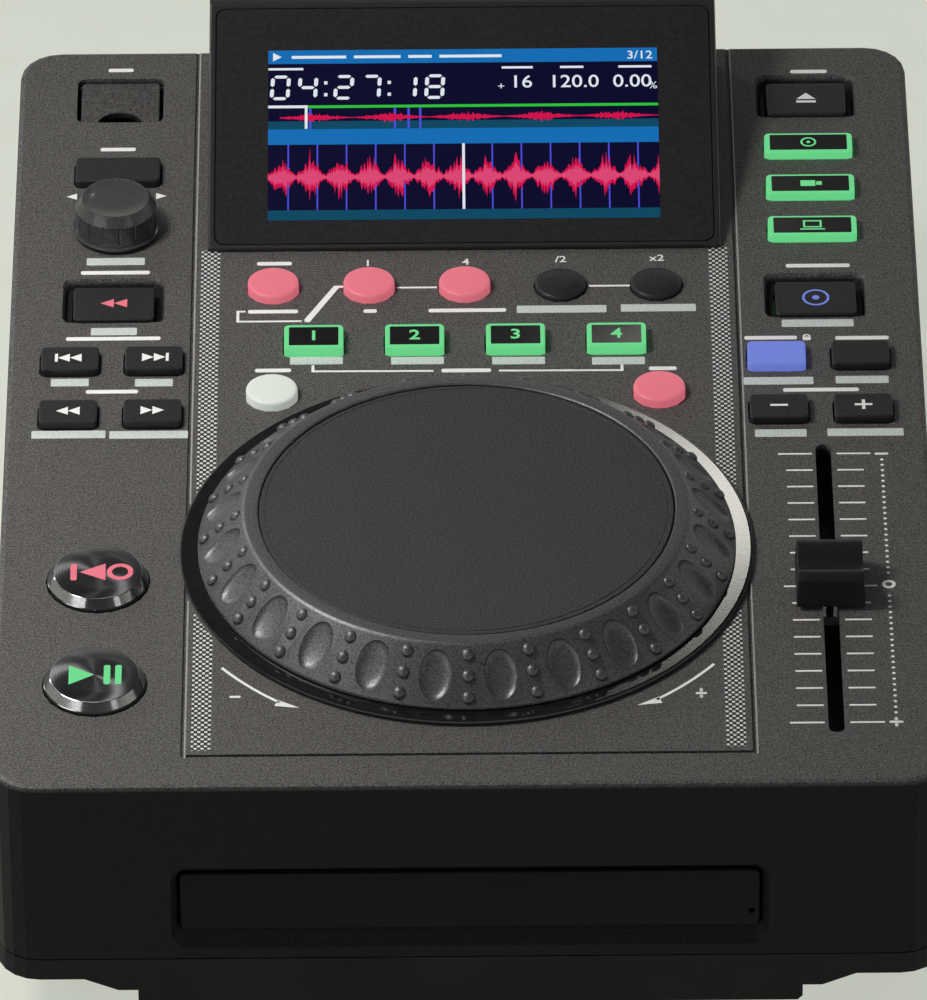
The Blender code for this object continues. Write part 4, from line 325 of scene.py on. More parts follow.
def dotted_strip():
    """Perforated look: white ink dots on black, staggered, 1.6 mm apart across and 1.75 mm along."""
    made, tree, shader, spot = start("ink_dots_on_black", Roughness=0.55)
    pitch, dot = (1.58 * MM, 1.76 * MM, 1.0), 0.41 * MM
    nearest = []
    for shift in (0.0, 0.5):
        scaled = add(tree, "VectorMath", {0: spot, 1: pitch}, operation="DIVIDE")
        moved = add(tree, "VectorMath", {0: scaled.outputs[0], 1: (shift, shift, 0)}, operation="ADD")
        cell = add(tree, "VectorMath", {0: moved.outputs[0]}, operation="FRACTION")
        middle = add(tree, "VectorMath", {0: cell.outputs[0], 1: (0.5, 0.5, 0)}, operation="SUBTRACT")
        flat_cell = add(tree, "VectorMath", {0: middle.outputs[0], 1: (pitch[0], pitch[1], 0)}, operation="MULTIPLY")
        nearest.append(add(tree, "VectorMath", {0: flat_cell.outputs[0]}, operation="LENGTH").outputs["Value"])
    reach = add(tree, "Math", {0: nearest[0], 1: nearest[1]}, operation="MINIMUM")
    inked = add(tree, "Math", {0: reach.outputs[0], 1: dot}, operation="LESS_THAN")
    color = add(tree, "Mix", {"Factor": inked.outputs[0], "A": tint("#0C0C0D"), "B": tint("#DADAD8")},
                data_type="RGBA")
    tree.links.new(color.outputs["Result"], shader.inputs["Base Color"])
    return made


def spun_metal(name, center):
    """Aluminium, spun and dark anodised: its tool marks run round the key's middle, so light makes a fan."""
    made, tree, shader, spot = start(name, Metallic=1.0, Roughness=0.3, Anisotropic=0.92)
    here = add(tree, "VectorMath", {0: spot, 1: (center[0], center[1], 0)}, operation="SUBTRACT")
    round_way = add(tree, "VectorMath", {0: here.outputs[0], 1: (0, 0, 1)}, operation="CROSS_PRODUCT")
    tangent = add(tree, "VectorMath", {0: round_way.outputs[0]}, operation="NORMALIZE")
    rings = add(tree, "TexWave", {"Vector": here.outputs[0], "Scale": 1 / (2.2 * MM), "Distortion": 0.6,
                                  "Detail": 2.0, "Detail Scale": 2.0}, wave_type="RINGS", rings_direction="Z")
    color = add(tree, "Mix", {"Factor": rings.outputs["Fac"], "A": tint("#5E5E60"), "B": tint("#727274")},
                data_type="RGBA")
    tree.links.new(color.outputs["Result"], shader.inputs["Base Color"])
    tree.links.new(tangent.outputs[0], shader.inputs["Tangent"])
    return made


def screen_color(name, code, strength=1.0):
    """One colour of the lit screen, with the faint grid of its 0.3 mm dots."""
    made, tree, shader, spot = start(name, Roughness=0.5, Base_Color=tint("#010102"),
                                     Emission_Strength=strength, Specular_IOR_Level=0.1)
    grid = add(tree, "TexBrick", {"Vector": spot, "Color1": tint(code), "Color2": tint(code),
                                  "Mortar": [c * 0.72 for c in tint(code)[:3]] + [1.0], "Scale": 1 / (0.6 * MM),
                                  "Mortar Size": 0.05, "Brick Width": 0.5, "Row Height": 0.5}, offset=0.0)
    tree.links.new(grid.outputs["Color"], shader.inputs["Emission Color"])
    return made


strip_dots = dotted_strip()
screen_navy = screen_color("screen_navy", "#06052C")
screen_blue = screen_color("screen_blue", "#1270BA")
screen_teal = screen_color("screen_teal", "#0A4A66")
screen_white = screen_color("screen_white", "#E8F0F8")
screen_crimson = screen_color("screen_crimson", "#D8104E")
screen_rose = screen_color("screen_rose", "#E24A78")
screen_violet = screen_color("screen_violet", "#4C50E0")
screen_green = screen_color("screen_green", "#30C838")


# ---- The nodes whose shape stays, with their finishes ----
def dress(stuff, *nodes):
    for name in nodes:
        slots = frame["nodes"][name].data.materials
        slots.clear()
        slots.append(stuff)


dress(deck_abs, "top_case")
dress(shell_abs, "bottom_case")
dress(lens_pc, "display_window")
dress(satin_abs, "disc_tray", "encoder_body", "disc_turntable", "mains_inlet", "power_rocker", "audio_sockets")
dress(steel, "laser_sled", "pitch_fader_lever", "jog_spindle", "encoder_shaft")
dress(tinned, "usb_socket", "usb_rear_socket")
dress(bay_steel, "rear_panel", "pitch_fader_body", "drive_frame")
dress(board_mask, "control_board", "screen_panel")


# ---- Jog wheel ----
# A dimple's section: shares of its half length or width, and heights in mm over the slope
BOWL = [(0.02, -1.05), (0.45, -1.0), (0.68, -0.86), (0.84, -0.6), (0.94, -0.3), (1.0, 0.0), (1.05, 0.6)]


def jog():
    center = (JOG_X, JOG_Y, DECK_Z)
    base_low, base_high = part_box("jog_base")
    rim = (base_high.x - base_low.x) / 2
    lip = base_high.z - DECK_Z
    floor_low = base_low.z - DECK_Z
    ring = turned("jog_ring", center, [
        (rim, 0.3 * MM), (rim, lip - 0.5 * MM), (rim - 0.2 * MM, lip - 0.15 * MM), (rim - 0.6 * MM, lip),
        (rim - 0.8 * MM, lip), (rim - 10.2 * MM, lip), (rim - 10.2 * MM, floor_low + 2.8 * MM),
        (12.3 * MM, floor_low + 2.8 * MM), (12.3 * MM, floor_low), (59.5 * MM, floor_low), (59.5 * MM, 0.3 * MM),
        (rim, 0.3 * MM),
    ], 192, hole=True)
    done(ring, "case", gloss_pc, ("jog_base",))

    outer = (JOG_HIGH.x - JOG_LOW.x) / 2
    top = JOG_HIGH.z - DECK_Z
    skirt = 1.55 * MM
    shoulder, plate = 52.2 * MM, 48.6 * MM
    hub = JOG_LOW.z - DECK_Z
    wheel = turned("jog_wheel_rim", center, [
        (plate, top - 2.1 * MM), (plate, top - 0.3 * MM), (plate + 0.3 * MM, top), (shoulder - 0.8 * MM, top),
        (shoulder - 0.2 * MM, top - 0.15 * MM), (shoulder + 0.3 * MM, top - 0.6 * MM),
        (outer - 0.2 * MM, skirt + 0.9 * MM), (outer, skirt + 0.5 * MM), (outer, skirt),
        (outer - 3 * MM, skirt), (shoulder - 3 * MM, top - 5.1 * MM), (10 * MM, top - 5.1 * MM), (10 * MM, hub),
        (5.3 * MM, hub), (5.3 * MM, top - 2.1 * MM), (plate, top - 2.1 * MM),
    ], 288, hole=True)
    slope = math.atan2(top - skirt - 1.5 * MM, outer - shoulder - 0.1 * MM)
    middle = (shoulder + outer) / 2
    lift = (top - 0.6 * MM + skirt + 0.9 * MM) / 2
    dimples, bumps = [], []
    for k in range(24):
        turn = Matrix.Translation(center) @ Matrix.Rotation(math.radians(15 * k), 4, "Z")
        lean = Matrix.Rotation(slope, 4, "Y")
        bowl = turned("dimple", (0, 0, 0), BOWL, 40)
        bowl.data.transform(Matrix.Diagonal((6.0 * MM, 3.9 * MM, MM, 1)))
        bowl.data.transform(turn @ Matrix.Rotation(math.radians(7.5), 4, "Z")
                            @ Matrix.Translation((middle, 0, lift)) @ lean)
        dimples.append(bowl)
        for row in (-1, 0, 1):
            fresh()
            bpy.ops.mesh.primitive_uv_sphere_add(segments=14, ring_count=8, radius=1)
            bump = named("bump")
            bump.data.transform(Matrix.Diagonal((1.6 * MM, 1.5 * MM, 1.0 * MM, 1)))
            bump.data.transform(turn @ Matrix.Translation((middle, 0, lift)) @ lean
                                @ Matrix.Translation((row * 5.0 * MM, 0, 0)))
            bumps.append(bump)
    combined(wheel, joined("dimples", dimples), "DIFFERENCE")
    combined(wheel, joined("bumps", bumps), "UNION")
    done(wheel, "jog", wheel_paint, ("jog_wheel",), angle=34)

    plate_low, plate_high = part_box("jog_top_plate")
    radius = (plate_high.x - plate_low.x) / 2
    low, high = plate_low.z - DECK_Z, plate_high.z - DECK_Z
    disc = turned("jog_plate_disc", center, [
        (radius, low), (radius, high - 0.3 * MM), (radius - 0.3 * MM, high), (radius - 1.1 * MM, high),
        (radius - 1.2 * MM, high - 0.12 * MM), (radius - 1.5 * MM, high - 0.12 * MM),
        (radius - 1.6 * MM, high), (6 * MM, high),
    ], 192)
    done(disc, "jog", plate_pvc, ("jog_top_plate",))


jog()


# ---- Keys ----
FLANGE = 1.0 * MM
BODY = {name: key for key, names in frame["record"]["behaviour"]["bodies"].items() for name in names}


def key_box(name):
    """The cap's corners, without the flange that holds it under the deck."""
    low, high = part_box(name)
    return Vector((low.x + FLANGE, low.y + FLANGE, low.z)), Vector((high.x - FLANGE, high.y - FLANGE, high.z))


def square_key(name, stuff):
    low, high = key_box(name)
    cap = block(name + "_cap", low, high, corner=1.1 * MM, edge=0.45 * MM)
    done(cap, BODY[name], stuff, (name,), angle=12)
    return low, high


def round_key(name, stuff, dome=0.0):
    low, high = key_box(name)
    center = ((low.x + high.x) / 2, (low.y + high.y) / 2, 0)
    r = (high.x - low.x) / 2
    top = high.z - dome
    cap = turned(name + "_cap", center, [
        (r, low.z), (r, top - 0.7 * MM), (r - 0.12 * MM, top - 0.3 * MM), (r - 0.45 * MM, top - 0.05 * MM),
        (r - 0.9 * MM, top), (r * 0.7, top + dome * 0.55), (r * 0.4, top + dome * 0.9), (r * 0.1, top + dome),
    ], 64)
    done(cap, BODY[name], stuff, (name,), angle=50)


def print_on(name, marks, stuff, body, height=None):
    """Join flat marks into one printed piece, laid just proud of what carries it."""
    piece = joined(name, marks)
    if height is not None:
        for point in piece.data.vertices:
            point.co.z = height
    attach(piece, body)
    piece.data.materials.clear()
    piece.data.materials.append(stuff)
    return piece


def stroke(points, width):
    """The outline of a line of even width through points, its corners mitred."""
    near, far = [], []
    for i, point in enumerate(points):
        here = Vector(point)
        first = max(i - 1, 0)
        ways = [(Vector(b) - Vector(a)).normalized() for a, b in zip(points[first:], points[first + 1:i + 2])]
        sides = [Vector((-way.y, way.x)) for way in ways]
        across = sum(sides, Vector((0, 0))).normalized()
        across *= width / 2 / max(across.dot(sides[0]), 0.4)
        near.append(tuple(here + across))
        far.append(tuple(here - across))
    return near + far[::-1]


def rectangle(x, y, width, depth):
    return [(x - width / 2, y - depth / 2), (x + width / 2, y - depth / 2),
            (x + width / 2, y + depth / 2), (x - width / 2, y + depth / 2)]


def rounded(x, y, width, depth, corner):
    outline = []
    for turn, (side_x, side_y) in enumerate(((1, 1), (-1, 1), (-1, -1), (1, -1))):
        for k in range(5):
            a = math.radians(90 * turn + 22.5 * k)
            outline.append((x + side_x * (width / 2 - corner) + corner * math.cos(a),
                            y + side_y * (depth / 2 - corner) + corner * math.sin(a)))
    return outline


def arc(x, y, radius, first, last, steps=24):
    turns = [math.radians(first + (last - first) * k / steps) for k in range(steps + 1)]
    return [(x + radius * math.cos(a), y + radius * math.sin(a)) for a in turns]


def triangle(x, y, width, depth):
    """Points to the right, or to the left where its width is negative."""
    return [(x - width / 2, y - depth / 2), (x + width / 2, y), (x - width / 2, y + depth / 2)]


def figure(text, x, y, size, weight=0.0):
    """Numbers or signs as a flat mesh, middle at a place."""
    fresh()
    bpy.ops.object.text_add(location=(x, y, 0))
    words = bpy.context.object
    words.data.body = text
    words.data.size = size
    words.data.align_x = "CENTER"
    words.data.align_y = "CENTER"
    words.data.offset = weight
    words.data.resolution_u = 3
    bpy.ops.object.convert(target="MESH")
    return named("figure")


PAIRS = ("search_back", "search_forward", "track_prev", "track_next", "bend_minus", "bend_plus", "tap")
for name in PAIRS + ("back", "reverse", "jog_mode", "eject"):
    square_key("button_" + name, key_abs)
square_key("button_key_lock", lit_violet)
for name in ("loop_auto", "loop_in", "loop_out", "slip"):
    round_key("button_" + name, lit_red, dome=0.25 * MM)
round_key("button_shift", lit_white, dome=0.25 * MM)
for name in ("loop_half", "loop_double"):
    round_key("button_" + name, key_abs, dome=0.7 * MM)


def windowed_key(name, wide_share, deep_share):
    """A key of green light with a black window in it. Gives the window's middle and the height of its print."""
    low, high = square_key(name, lit_green)
    x, y = (low.x + high.x) / 2, (low.y + high.y) / 2
    half_wide, half_deep = (high.x - low.x) * wide_share / 2, (high.y - low.y) * deep_share / 2
    window = block(name + "_window", (x - half_wide, y - half_deep, high.z - 0.3 * MM),
                   (x + half_wide, y + half_deep, high.z + 0.05 * MM), corner=0.3 * MM, edge=0.04 * MM)
    done(window, BODY[name], gloss_pc, angle=12)
    return x, y, high.z + 0.08 * MM


for number in range(1, 5):
    name = f"button_hot_{number}"
    x, y, z = windowed_key(name, 0.84, 0.76)
    print_on(name + "_number", [figure(str(number), x, y, 5.4 * MM, 0.12 * MM)], lit_green, BODY[name],
             z)

for sign in ("source_computer", "source_stick", "source_disc"):
    name = "button_" + sign
    x, y, z = windowed_key(name, 0.88, 0.78)
    if sign == "source_disc":
        marks = [flat(stroke(arc(x, y, 1.7 * MM, 0, 358), 0.5 * MM)), flat(arc(x, y, 0.5 * MM, 0, 345, 12))]
    elif sign == "source_stick":
        marks = [flat(rectangle(x - 0.6 * MM, y, 3.6 * MM, 2.4 * MM)),
                 flat(rectangle(x + 2.1 * MM, y, 1.4 * MM, 1.5 * MM))]
    else:
        marks = [flat(stroke([(x - 2.0 * MM, y + 1.6 * MM), (x - 2.0 * MM, y - 0.9 * MM),
                              (x + 2.0 * MM, y - 0.9 * MM), (x + 2.0 * MM, y + 1.6 * MM),
                              (x - 2.3 * MM, y + 1.6 * MM)], 0.5 * MM)),
                 flat(rectangle(x, y - 1.8 * MM, 6.0 * MM, 0.5 * MM))]
    print_on(name + "_sign", marks, lit_green, BODY[name], z)


def signs():
    """The transport signs printed on the black keys."""
    def top(name):
        low, high = key_box(name)
        return (low.x + high.x) / 2, (low.y + high.y) / 2, high.z + 0.03 * MM

    wide, deep = 2.8 * MM, 3.2 * MM
    for name, way, barred in (("search_back", -1, False), ("search_forward", 1, False),
                              ("track_prev", -1, True), ("track_next", 1, True)):
        x, y, z = top("button_" + name)
        marks = [flat(triangle(x - way * wide / 2, y, way * wide, deep)),
                 flat(triangle(x + way * wide / 2, y, way * wide, deep))]
        if barred:
            marks.append(flat(rectangle(x + way * (wide + 0.4 * MM), y, 0.7 * MM, deep)))
        print_on("button_" + name + "_sign", marks, white_ink, BODY["button_" + name], z)
    for name in ("bend_minus", "bend_plus"):
        x, y, z = top("button_" + name)
        marks = [flat(rectangle(x, y, 4.2 * MM, 0.8 * MM))]
        if name == "bend_plus":
            marks += [flat(rectangle(x, y + side * 1.15 * MM, 0.8 * MM, 1.5 * MM)) for side in (1, -1)]
        print_on("button_" + name + "_sign", marks, white_ink, BODY["button_" + name], z)
    x, y, z = top("button_eject")
    marks = [flat([(x - 2.4 * MM, y - 0.3 * MM), (x + 2.4 * MM, y - 0.3 * MM), (x, y + 2.4 * MM)]),
             flat(rectangle(x, y - 1.35 * MM, 4.8 * MM, 0.9 * MM))]
    print_on("button_eject_sign", marks, white_ink, "button_eject", z)
    x, y, z = top("button_reverse")
    marks = [flat(triangle(x + side * 1.6 * MM, y, -3.2 * MM, 3.4 * MM)) for side in (-1, 1)]
    print_on("button_reverse_sign", marks, lit_red, "button_reverse", z)
    x, y, z = top("button_jog_mode")
    marks = [flat(stroke(arc(x, y, 3.0 * MM, 0, 358), 0.6 * MM)), flat(arc(x, y, 0.9 * MM, 0, 345, 12))]
    print_on("button_jog_mode_sign", marks, lit_violet, "button_jog_mode", z)


signs()


def transport_key(name, stuff_name):
    """A spun metal key: dark side, polished chamfer and a flat face."""
    low, high = key_box(name)
    x, y = (low.x + high.x) / 2, (low.y + high.y) / 2
    r, top = (high.x - low.x) / 2, high.z
    side = turned(name + "_side", (x, y, 0), [(r, low.z), (r, top - 2.3 * MM), (r - 0.1 * MM, top - 2.1 * MM),
                                             (r - 0.3 * MM, top - 2.0 * MM)], 96)
    done(side, BODY[name], gloss_pc, (name,))
    face = turned(name + "_face", (x, y, 0), [
        (r - 1.6 * MM, top - 0.5 * MM), (r - 1.6 * MM, top - 0.06 * MM), (r - 1.75 * MM, top),
        (r * 0.5, top), (r * 0.05, top),
    ], 96)
    done(face, BODY[name], spun_metal(stuff_name, (x, y)), angle=25)
    chamfer = turned(name + "_chamfer", (x, y, 0), [
        (r - 0.2 * MM, top - 2.4 * MM), (r - 0.2 * MM, top - 1.95 * MM), (r - 0.3 * MM, top - 1.8 * MM),
        (r - 1.45 * MM, top - 0.1 * MM), (r - 1.57 * MM, top - 0.05 * MM), (r - 1.57 * MM, top - 2.4 * MM),
        (r - 0.2 * MM, top - 2.4 * MM),
    ], 96, hole=True)
    done(chamfer, BODY[name], dark_chrome, angle=25)
    return x, y, top + 0.04 * MM


x, y, z = transport_key("button_play", "aluminium_spun_play")
print_on("button_play_sign", [flat(triangle(x - 3.0 * MM, y, 5.8 * MM, 7.2 * MM)),
                              flat(rounded(x + 2.9 * MM, y, 1.5 * MM, 7.2 * MM, 0.5 * MM)),
                              flat(rounded(x + 5.5 * MM, y, 1.5 * MM, 7.2 * MM, 0.5 * MM))],
         lit_green, "button_play", z)
x, y, z = transport_key("button_cue", "aluminium_spun_cue")
print_on("button_cue_sign", [flat(rounded(x - 5.6 * MM, y, 1.5 * MM, 6.4 * MM, 0.5 * MM)),
                             flat(triangle(x - 1.2 * MM, y, -6.0 * MM, 6.4 * MM)),
                             flat(stroke(arc(x + 5.2 * MM, y, 2.5 * MM, 0, 358), 1.2 * MM))],
         lit_red, "button_cue", z)


# ---- Browse knob ----
def knob():
    low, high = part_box("browse_knob")
    x, y = (low.x + high.x) / 2, (low.y + high.y) / 2
    base, top = low.z, high.z
    body = turned("browse_knob_body", (x, y, 0), [
        (3.3 * MM, base), (10.6 * MM, base), (10.6 * MM, base + 0.35 * MM), (10.4 * MM, base + 0.55 * MM),
        (9.9 * MM, base + 0.6 * MM), (9.75 * MM, top - 2.4 * MM), (9.6 * MM, top - 2.15 * MM),
        (8.25 * MM, top - 0.25 * MM), (8.1 * MM, top - 0.05 * MM), (7.9 * MM, top), (7.6 * MM, top - 0.1 * MM),
        (4.0 * MM, top - 0.26 * MM), (0.5 * MM, top - 0.32 * MM),
    ], 128)
    grooves = []
    for k in range(16):
        turn = Matrix.Translation((x, y, 0)) @ Matrix.Rotation(math.radians(22.5 * k + 6), 4, "Z")
        fresh()
        bpy.ops.mesh.primitive_cylinder_add(vertices=10, radius=0.42 * MM, depth=top - base - 2.4 * MM)
        groove = named("groove")
        groove.data.transform(turn @ Matrix.Translation((10.02 * MM, 0, (top + base) / 2 + 0.6 * MM)))
        grooves.append(groove)
    combined(body, joined("grooves", grooves), "DIFFERENCE")
    done(body, "browse_knob", knob_abs, ("browse_knob",), angle=24)


knob()


# ---- Pitch fader cap ----
def fader_cap():
    low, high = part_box("pitch_fader_cap")
    size = high - low
    middle = (low + high) / 2
    fresh()
    bpy.ops.mesh.primitive_cube_add(size=1, location=middle, scale=size)
    cap = named("pitch_fader_saddle")
    bpy.ops.object.mode_set(mode="EDIT")
    bpy.ops.mesh.select_all(action="SELECT")
    bpy.ops.mesh.subdivide(number_cuts=23)
    bpy.ops.object.mode_set(mode="OBJECT")
    half = size.y / 2
    for point in cap.data.vertices:
        along = (point.co.y - middle.y) / half
        rise = (point.co.z - low.z) / size.z
        crest = 0.70
        if abs(along) < crest:
            drop = 2.7 * MM * math.cos(along / crest * math.pi / 2) ** 2
        else:
            drop = 0.9 * MM * ((abs(along) - crest) / (1 - crest)) ** 2
        point.co.z -= drop * rise
        point.co.y = middle.y + (point.co.y - middle.y) * (1 - 0.13 * rise)
        point.co.x = middle.x + (point.co.x - middle.x) * (1 - 0.05 * rise)
    bevel = cap.modifiers.new("soft_edges", "BEVEL")
    bevel.width = 0.6 * MM
    bevel.segments = 3
    bevel.limit_method = "ANGLE"
    bevel.angle_limit = math.radians(50)
    bpy.ops.object.modifier_apply(modifier=bevel.name)
    done(cap, "pitch_fader", satin_abs, ("pitch_fader_cap",), angle=40)


fader_cap()


# ---- Display housing, and the picture on its screen ----
TILT = math.radians(15)
TOE_Z = DECK_Z + 1.1 * MM
SLOPE = Matrix.Translation((0, HOUSING_LOW.y, TOE_Z)) @ Matrix.Rotation(TILT, 4, "X")


def housing():
    """The wedge: a box whose top is tilted, with soft edges and a seat for the window."""
    low, high = Vector(HOUSING_LOW), Vector(HOUSING_HIGH)
    low.z = DECK_Z + 0.3 * MM
    fresh()
    bpy.ops.mesh.primitive_cube_add(size=1, location=(low + high) / 2, scale=high - low)
    body = named("display_wedge")
    crest = high.y - 3.0 * MM
    pick(body, "EDGE", lambda c: abs(c[0].y - c[1].y) > TINY and c[0].z > high.z - TINY)
    bpy.ops.mesh.subdivide(number_cuts=1)
    bpy.ops.object.mode_set(mode="OBJECT")
    for point in body.data.vertices:
        if point.co.z > high.z - TINY:
            if low.y + TINY < point.co.y < high.y - TINY:
                point.co.y = crest
            elif point.co.y < low.y + TINY:
                point.co.z = TOE_Z
    pick(body, "EDGE", lambda c: abs(c[0].x) > low.x * -1 - TINY and abs(c[0].x - c[1].x) < TINY
         and min(c[0].z, c[1].z) > low.z + TINY / 2 and abs(c[0].z - c[1].z) > TINY)
    bpy.ops.mesh.bevel(offset=0.7 * MM, segments=4, affect="EDGES")
    bpy.ops.object.mode_set(mode="OBJECT")
    seat = block("seat", (-60.5 * MM, 1.1 * MM, -1.3 * MM), (60.5 * MM, 76.2 * MM, 4 * MM), corner=2.6 * MM)
    seat.data.transform(SLOPE)
    combined(body, seat, "DIFFERENCE")
    well = block("well", (-49.8 * MM, 6.5 * MM, -35 * MM), (49.8 * MM, 65.1 * MM, 4 * MM))
    well.data.transform(SLOPE)
    combined(body, well, "DIFFERENCE")
    done(body, "case", housing_abs, ("display_housing",), angle=35)


housing()


def seven_segments(digit, x, y, width, height, thick, lean=0.05):
    """One digit of seven bars, leaning a little, as flat marks."""
    lit = {"0": "abcdef", "1": "bc", "2": "abged", "3": "abgcd", "4": "fgbc", "5": "afgcd", "6": "afgedc",
           "7": "abc", "8": "abcdefg", "9": "abcdfg"}[digit]
    w, h, t = width / 2, height / 2, thick
    gap = 0.12 * t
    lines = {"a": ((-w, h), (w, h)), "g": ((-w, 0), (w, 0)), "d": ((-w, -h), (w, -h)),
             "f": ((-w, 0), (-w, h)), "b": ((w, 0), (w, h)), "e": ((-w, -h), (-w, 0)), "c": ((w, -h), (w, 0))}
    marks = []
    for bar in lit:
        a, b = Vector(lines[bar][0]), Vector(lines[bar][1])
        way = (b - a).normalized()
        a, b = a + way * (t / 2 + gap - t * 0.3), b - way * (t / 2 + gap - t * 0.3)
        side = Vector((-way.y, way.x)) * t / 2
        cut = way * t / 2
        outline = [a, a + cut + side, b - cut + side, b, b - cut - side, a + cut - side]
        marks.append(flat([(x + p.x + lean * p.y, y + p.y) for p in outline]))
    return marks


def screen():
    """The picture: header, time in seven-bar digits, overview strip and a scrolling waveform."""
    wide, tall = 95.04 * MM, 53.9 * MM
    left, bottom = -wide / 2, 8.6 * MM
    base = 0.05 * MM

    def across(share):
        return left + wide * share

    def down(share):
        return bottom + tall * (1 - share)

    def panel(first, last, top, low):
        return flat([(across(first), down(low)), (across(last), down(low)), (across(last), down(top)),
                     (across(first), down(top))])

    def show(name, marks, stuff, layer):
        piece = joined(name, marks)
        for point in piece.data.vertices:
            point.co.z = base + layer * 0.02 * MM
        piece.data.transform(SLOPE)
        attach(piece, "case")
        piece.data.materials.clear()
        piece.data.materials.append(stuff)

    show("screen_ground", [panel(0, 1, 0, 1)], screen_navy, 0)
    show("screen_bands", [panel(0, 1, 0, 0.08), panel(0, 1, 0.467, 0.558)], screen_blue, 1)
    show("screen_bands_teal", [panel(0, 1, 0.420, 0.467), panel(0, 1, 0.942, 1)], screen_teal, 1)
    show("screen_level", [panel(0.10, 1, 0.327, 0.343)], screen_green, 1)

    marks = []
    x, pitch, colon = 0.031, 0.0705, 0.022
    for digit in "042718":
        marks += seven_segments(digit, across(x), down(0.222), 3.9 * MM, 6.9 * MM, 0.95 * MM)
        x += pitch
        if digit in "47":
            for share in (0.195, 0.265):
                marks.append(flat(rectangle(across(x - (pitch - colon) / 2), down(share), 0.8 * MM, 1.0 * MM)))
            x += colon
    for text, place in (("16", 0.65), ("120.0", 0.785), ("0.00", 0.935)):
        marks.append(figure(text, across(place), down(0.20), 5.6 * MM, 0.03 * MM))
    for text, place in (("+", 0.598), ("%", 0.988)):
        marks.append(figure(text, across(place), down(0.225), 3.2 * MM))
    marks.append(figure("3/12", across(0.955), down(0.045), 3.6 * MM, 0.02 * MM))
    marks.append(flat([(across(0.012), down(0.065)), (across(0.034), down(0.04)), (across(0.012), down(0.015))]))
    for first, last in ((0.06, 0.20), (0.22, 0.34), (0.36, 0.42), (0.44, 0.60)):
        marks.append(flat(rectangle(across((first + last) / 2), down(0.042), wide * (last - first), 0.9 * MM)))
    for first, last in ((0.0, 0.09), (0.60, 0.68), (0.75, 0.81), (0.90, 0.985)):
        marks.append(flat(rectangle(across((first + last) / 2), down(0.112), wide * (last - first), 0.7 * MM)))
    marks.append(panel(0, 0.10, 0.327, 0.343))
    marks.append(panel(0.094, 0.101, 0.327, 0.465))
    marks.append(panel(0.4965, 0.5035, 0.558, 0.942))
    show("screen_figures", marks, screen_white, 4)

    lines = [panel(share - 0.002, share + 0.002, 0.558, 0.942) for share in (0.052 + 0.0745 * k for k in range(13))]
    lines += [panel(share - 0.003, share + 0.003, 0.345, 0.467) for share in (0.108, 0.325, 0.36, 0.39)]
    show("screen_beat_lines", lines, screen_violet, 2)

    def wave(name, first, last, middle, reach, stuff, layer, speed):
        """A waveform's outline: a fine grid whose rows are moved to its peaks."""
        steps = 420
        fresh()
        bpy.ops.mesh.primitive_grid_add(x_subdivisions=steps, y_subdivisions=1, size=1)
        piece = named(name)
        for point in piece.data.vertices:
            share = point.co.x + 0.5
            beat = (share * speed) % 1.0
            swell = max(0.0, 1 - abs(beat - 0.45) / 0.55) ** 1.3
            jitter = abs(noise.noise(Vector((share * 230, speed, 0.3 if point.co.y > 0 else 0.7))))
            peak = reach * (0.05 + 0.95 * swell * (0.25 + 1.2 * jitter))
            side = 1 if point.co.y > 0 else -1
            point.co = (across(first + (last - first) * share), down(middle) + side * min(peak, reach) * tall, 0)
        show(name, [piece], stuff, layer)

    wave("screen_wave", 0, 1, 0.75, 0.175, screen_crimson, 3, 13.3)
    wave("screen_wave_core", 0, 1, 0.75, 0.10, screen_rose, 3.5, 13.3)
    wave("screen_overview", 0.03, 1, 0.40, 0.035, screen_crimson, 2.5, 5.0)


screen()


# ---- Stick door, tray door, grooves and printing on the deck ----
STICK_PIN = 1.8 * MM


def stick_door():
    low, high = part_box("usb_door")
    low.x, high.x = low.x + STICK_PIN, high.x - STICK_PIN
    door = block("stick_flap", low, high, corner=1.2 * MM, edge=0.25 * MM)
    x = (low.x + high.x) / 2
    notch = turned("notch", (x, low.y - 0.4 * MM, 0), [(5.6 * MM, low.z - 2 * MM), (5.6 * MM, high.z + 2 * MM)], 64)
    notch.data.transform(Matrix.Translation((0, low.y - 0.4 * MM, 0)) @ Matrix.Diagonal((1, 0.95, 1, 1))
                         @ Matrix.Translation((0, 0.4 * MM - low.y, 0)))
    combined(door, notch, "DIFFERENCE")
    reach = (high.x - low.x) / 2 + STICK_PIN
    pins = turned("pins", (0, 0, 0), [(0.5 * MM, -reach), (0.5 * MM, reach)], 16)
    hinge_z = high.z - 1.0 * MM
    pins.data.transform(Matrix.Translation((x, high.y - 1.0 * MM, hinge_z)) @ Matrix.Rotation(math.pi / 2, 4, "Y"))
    combined(door, pins, "UNION")
    done(door, "usb_door", deck_abs, ("usb_door",))


stick_door()


def tray_door():
    low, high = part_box("tray_door")
    door = block("tray_door_panel", low, high, corner=1.6 * MM, edge=0.5 * MM, along=1, side=-1)
    hole = turned("hole", (0, 0, 0), [(0.8 * MM, -1.0 * MM), (0.8 * MM, 2.0 * MM)], 24)
    hole.data.transform(Matrix.Translation((high.x - 1.9 * MM, low.y, low.z + 4.4 * MM)) @ BACKWARD)
    combined(door, hole, "DIFFERENCE")
    done(door, "disc_drawer", door_abs, ("tray_door",))


tray_door()


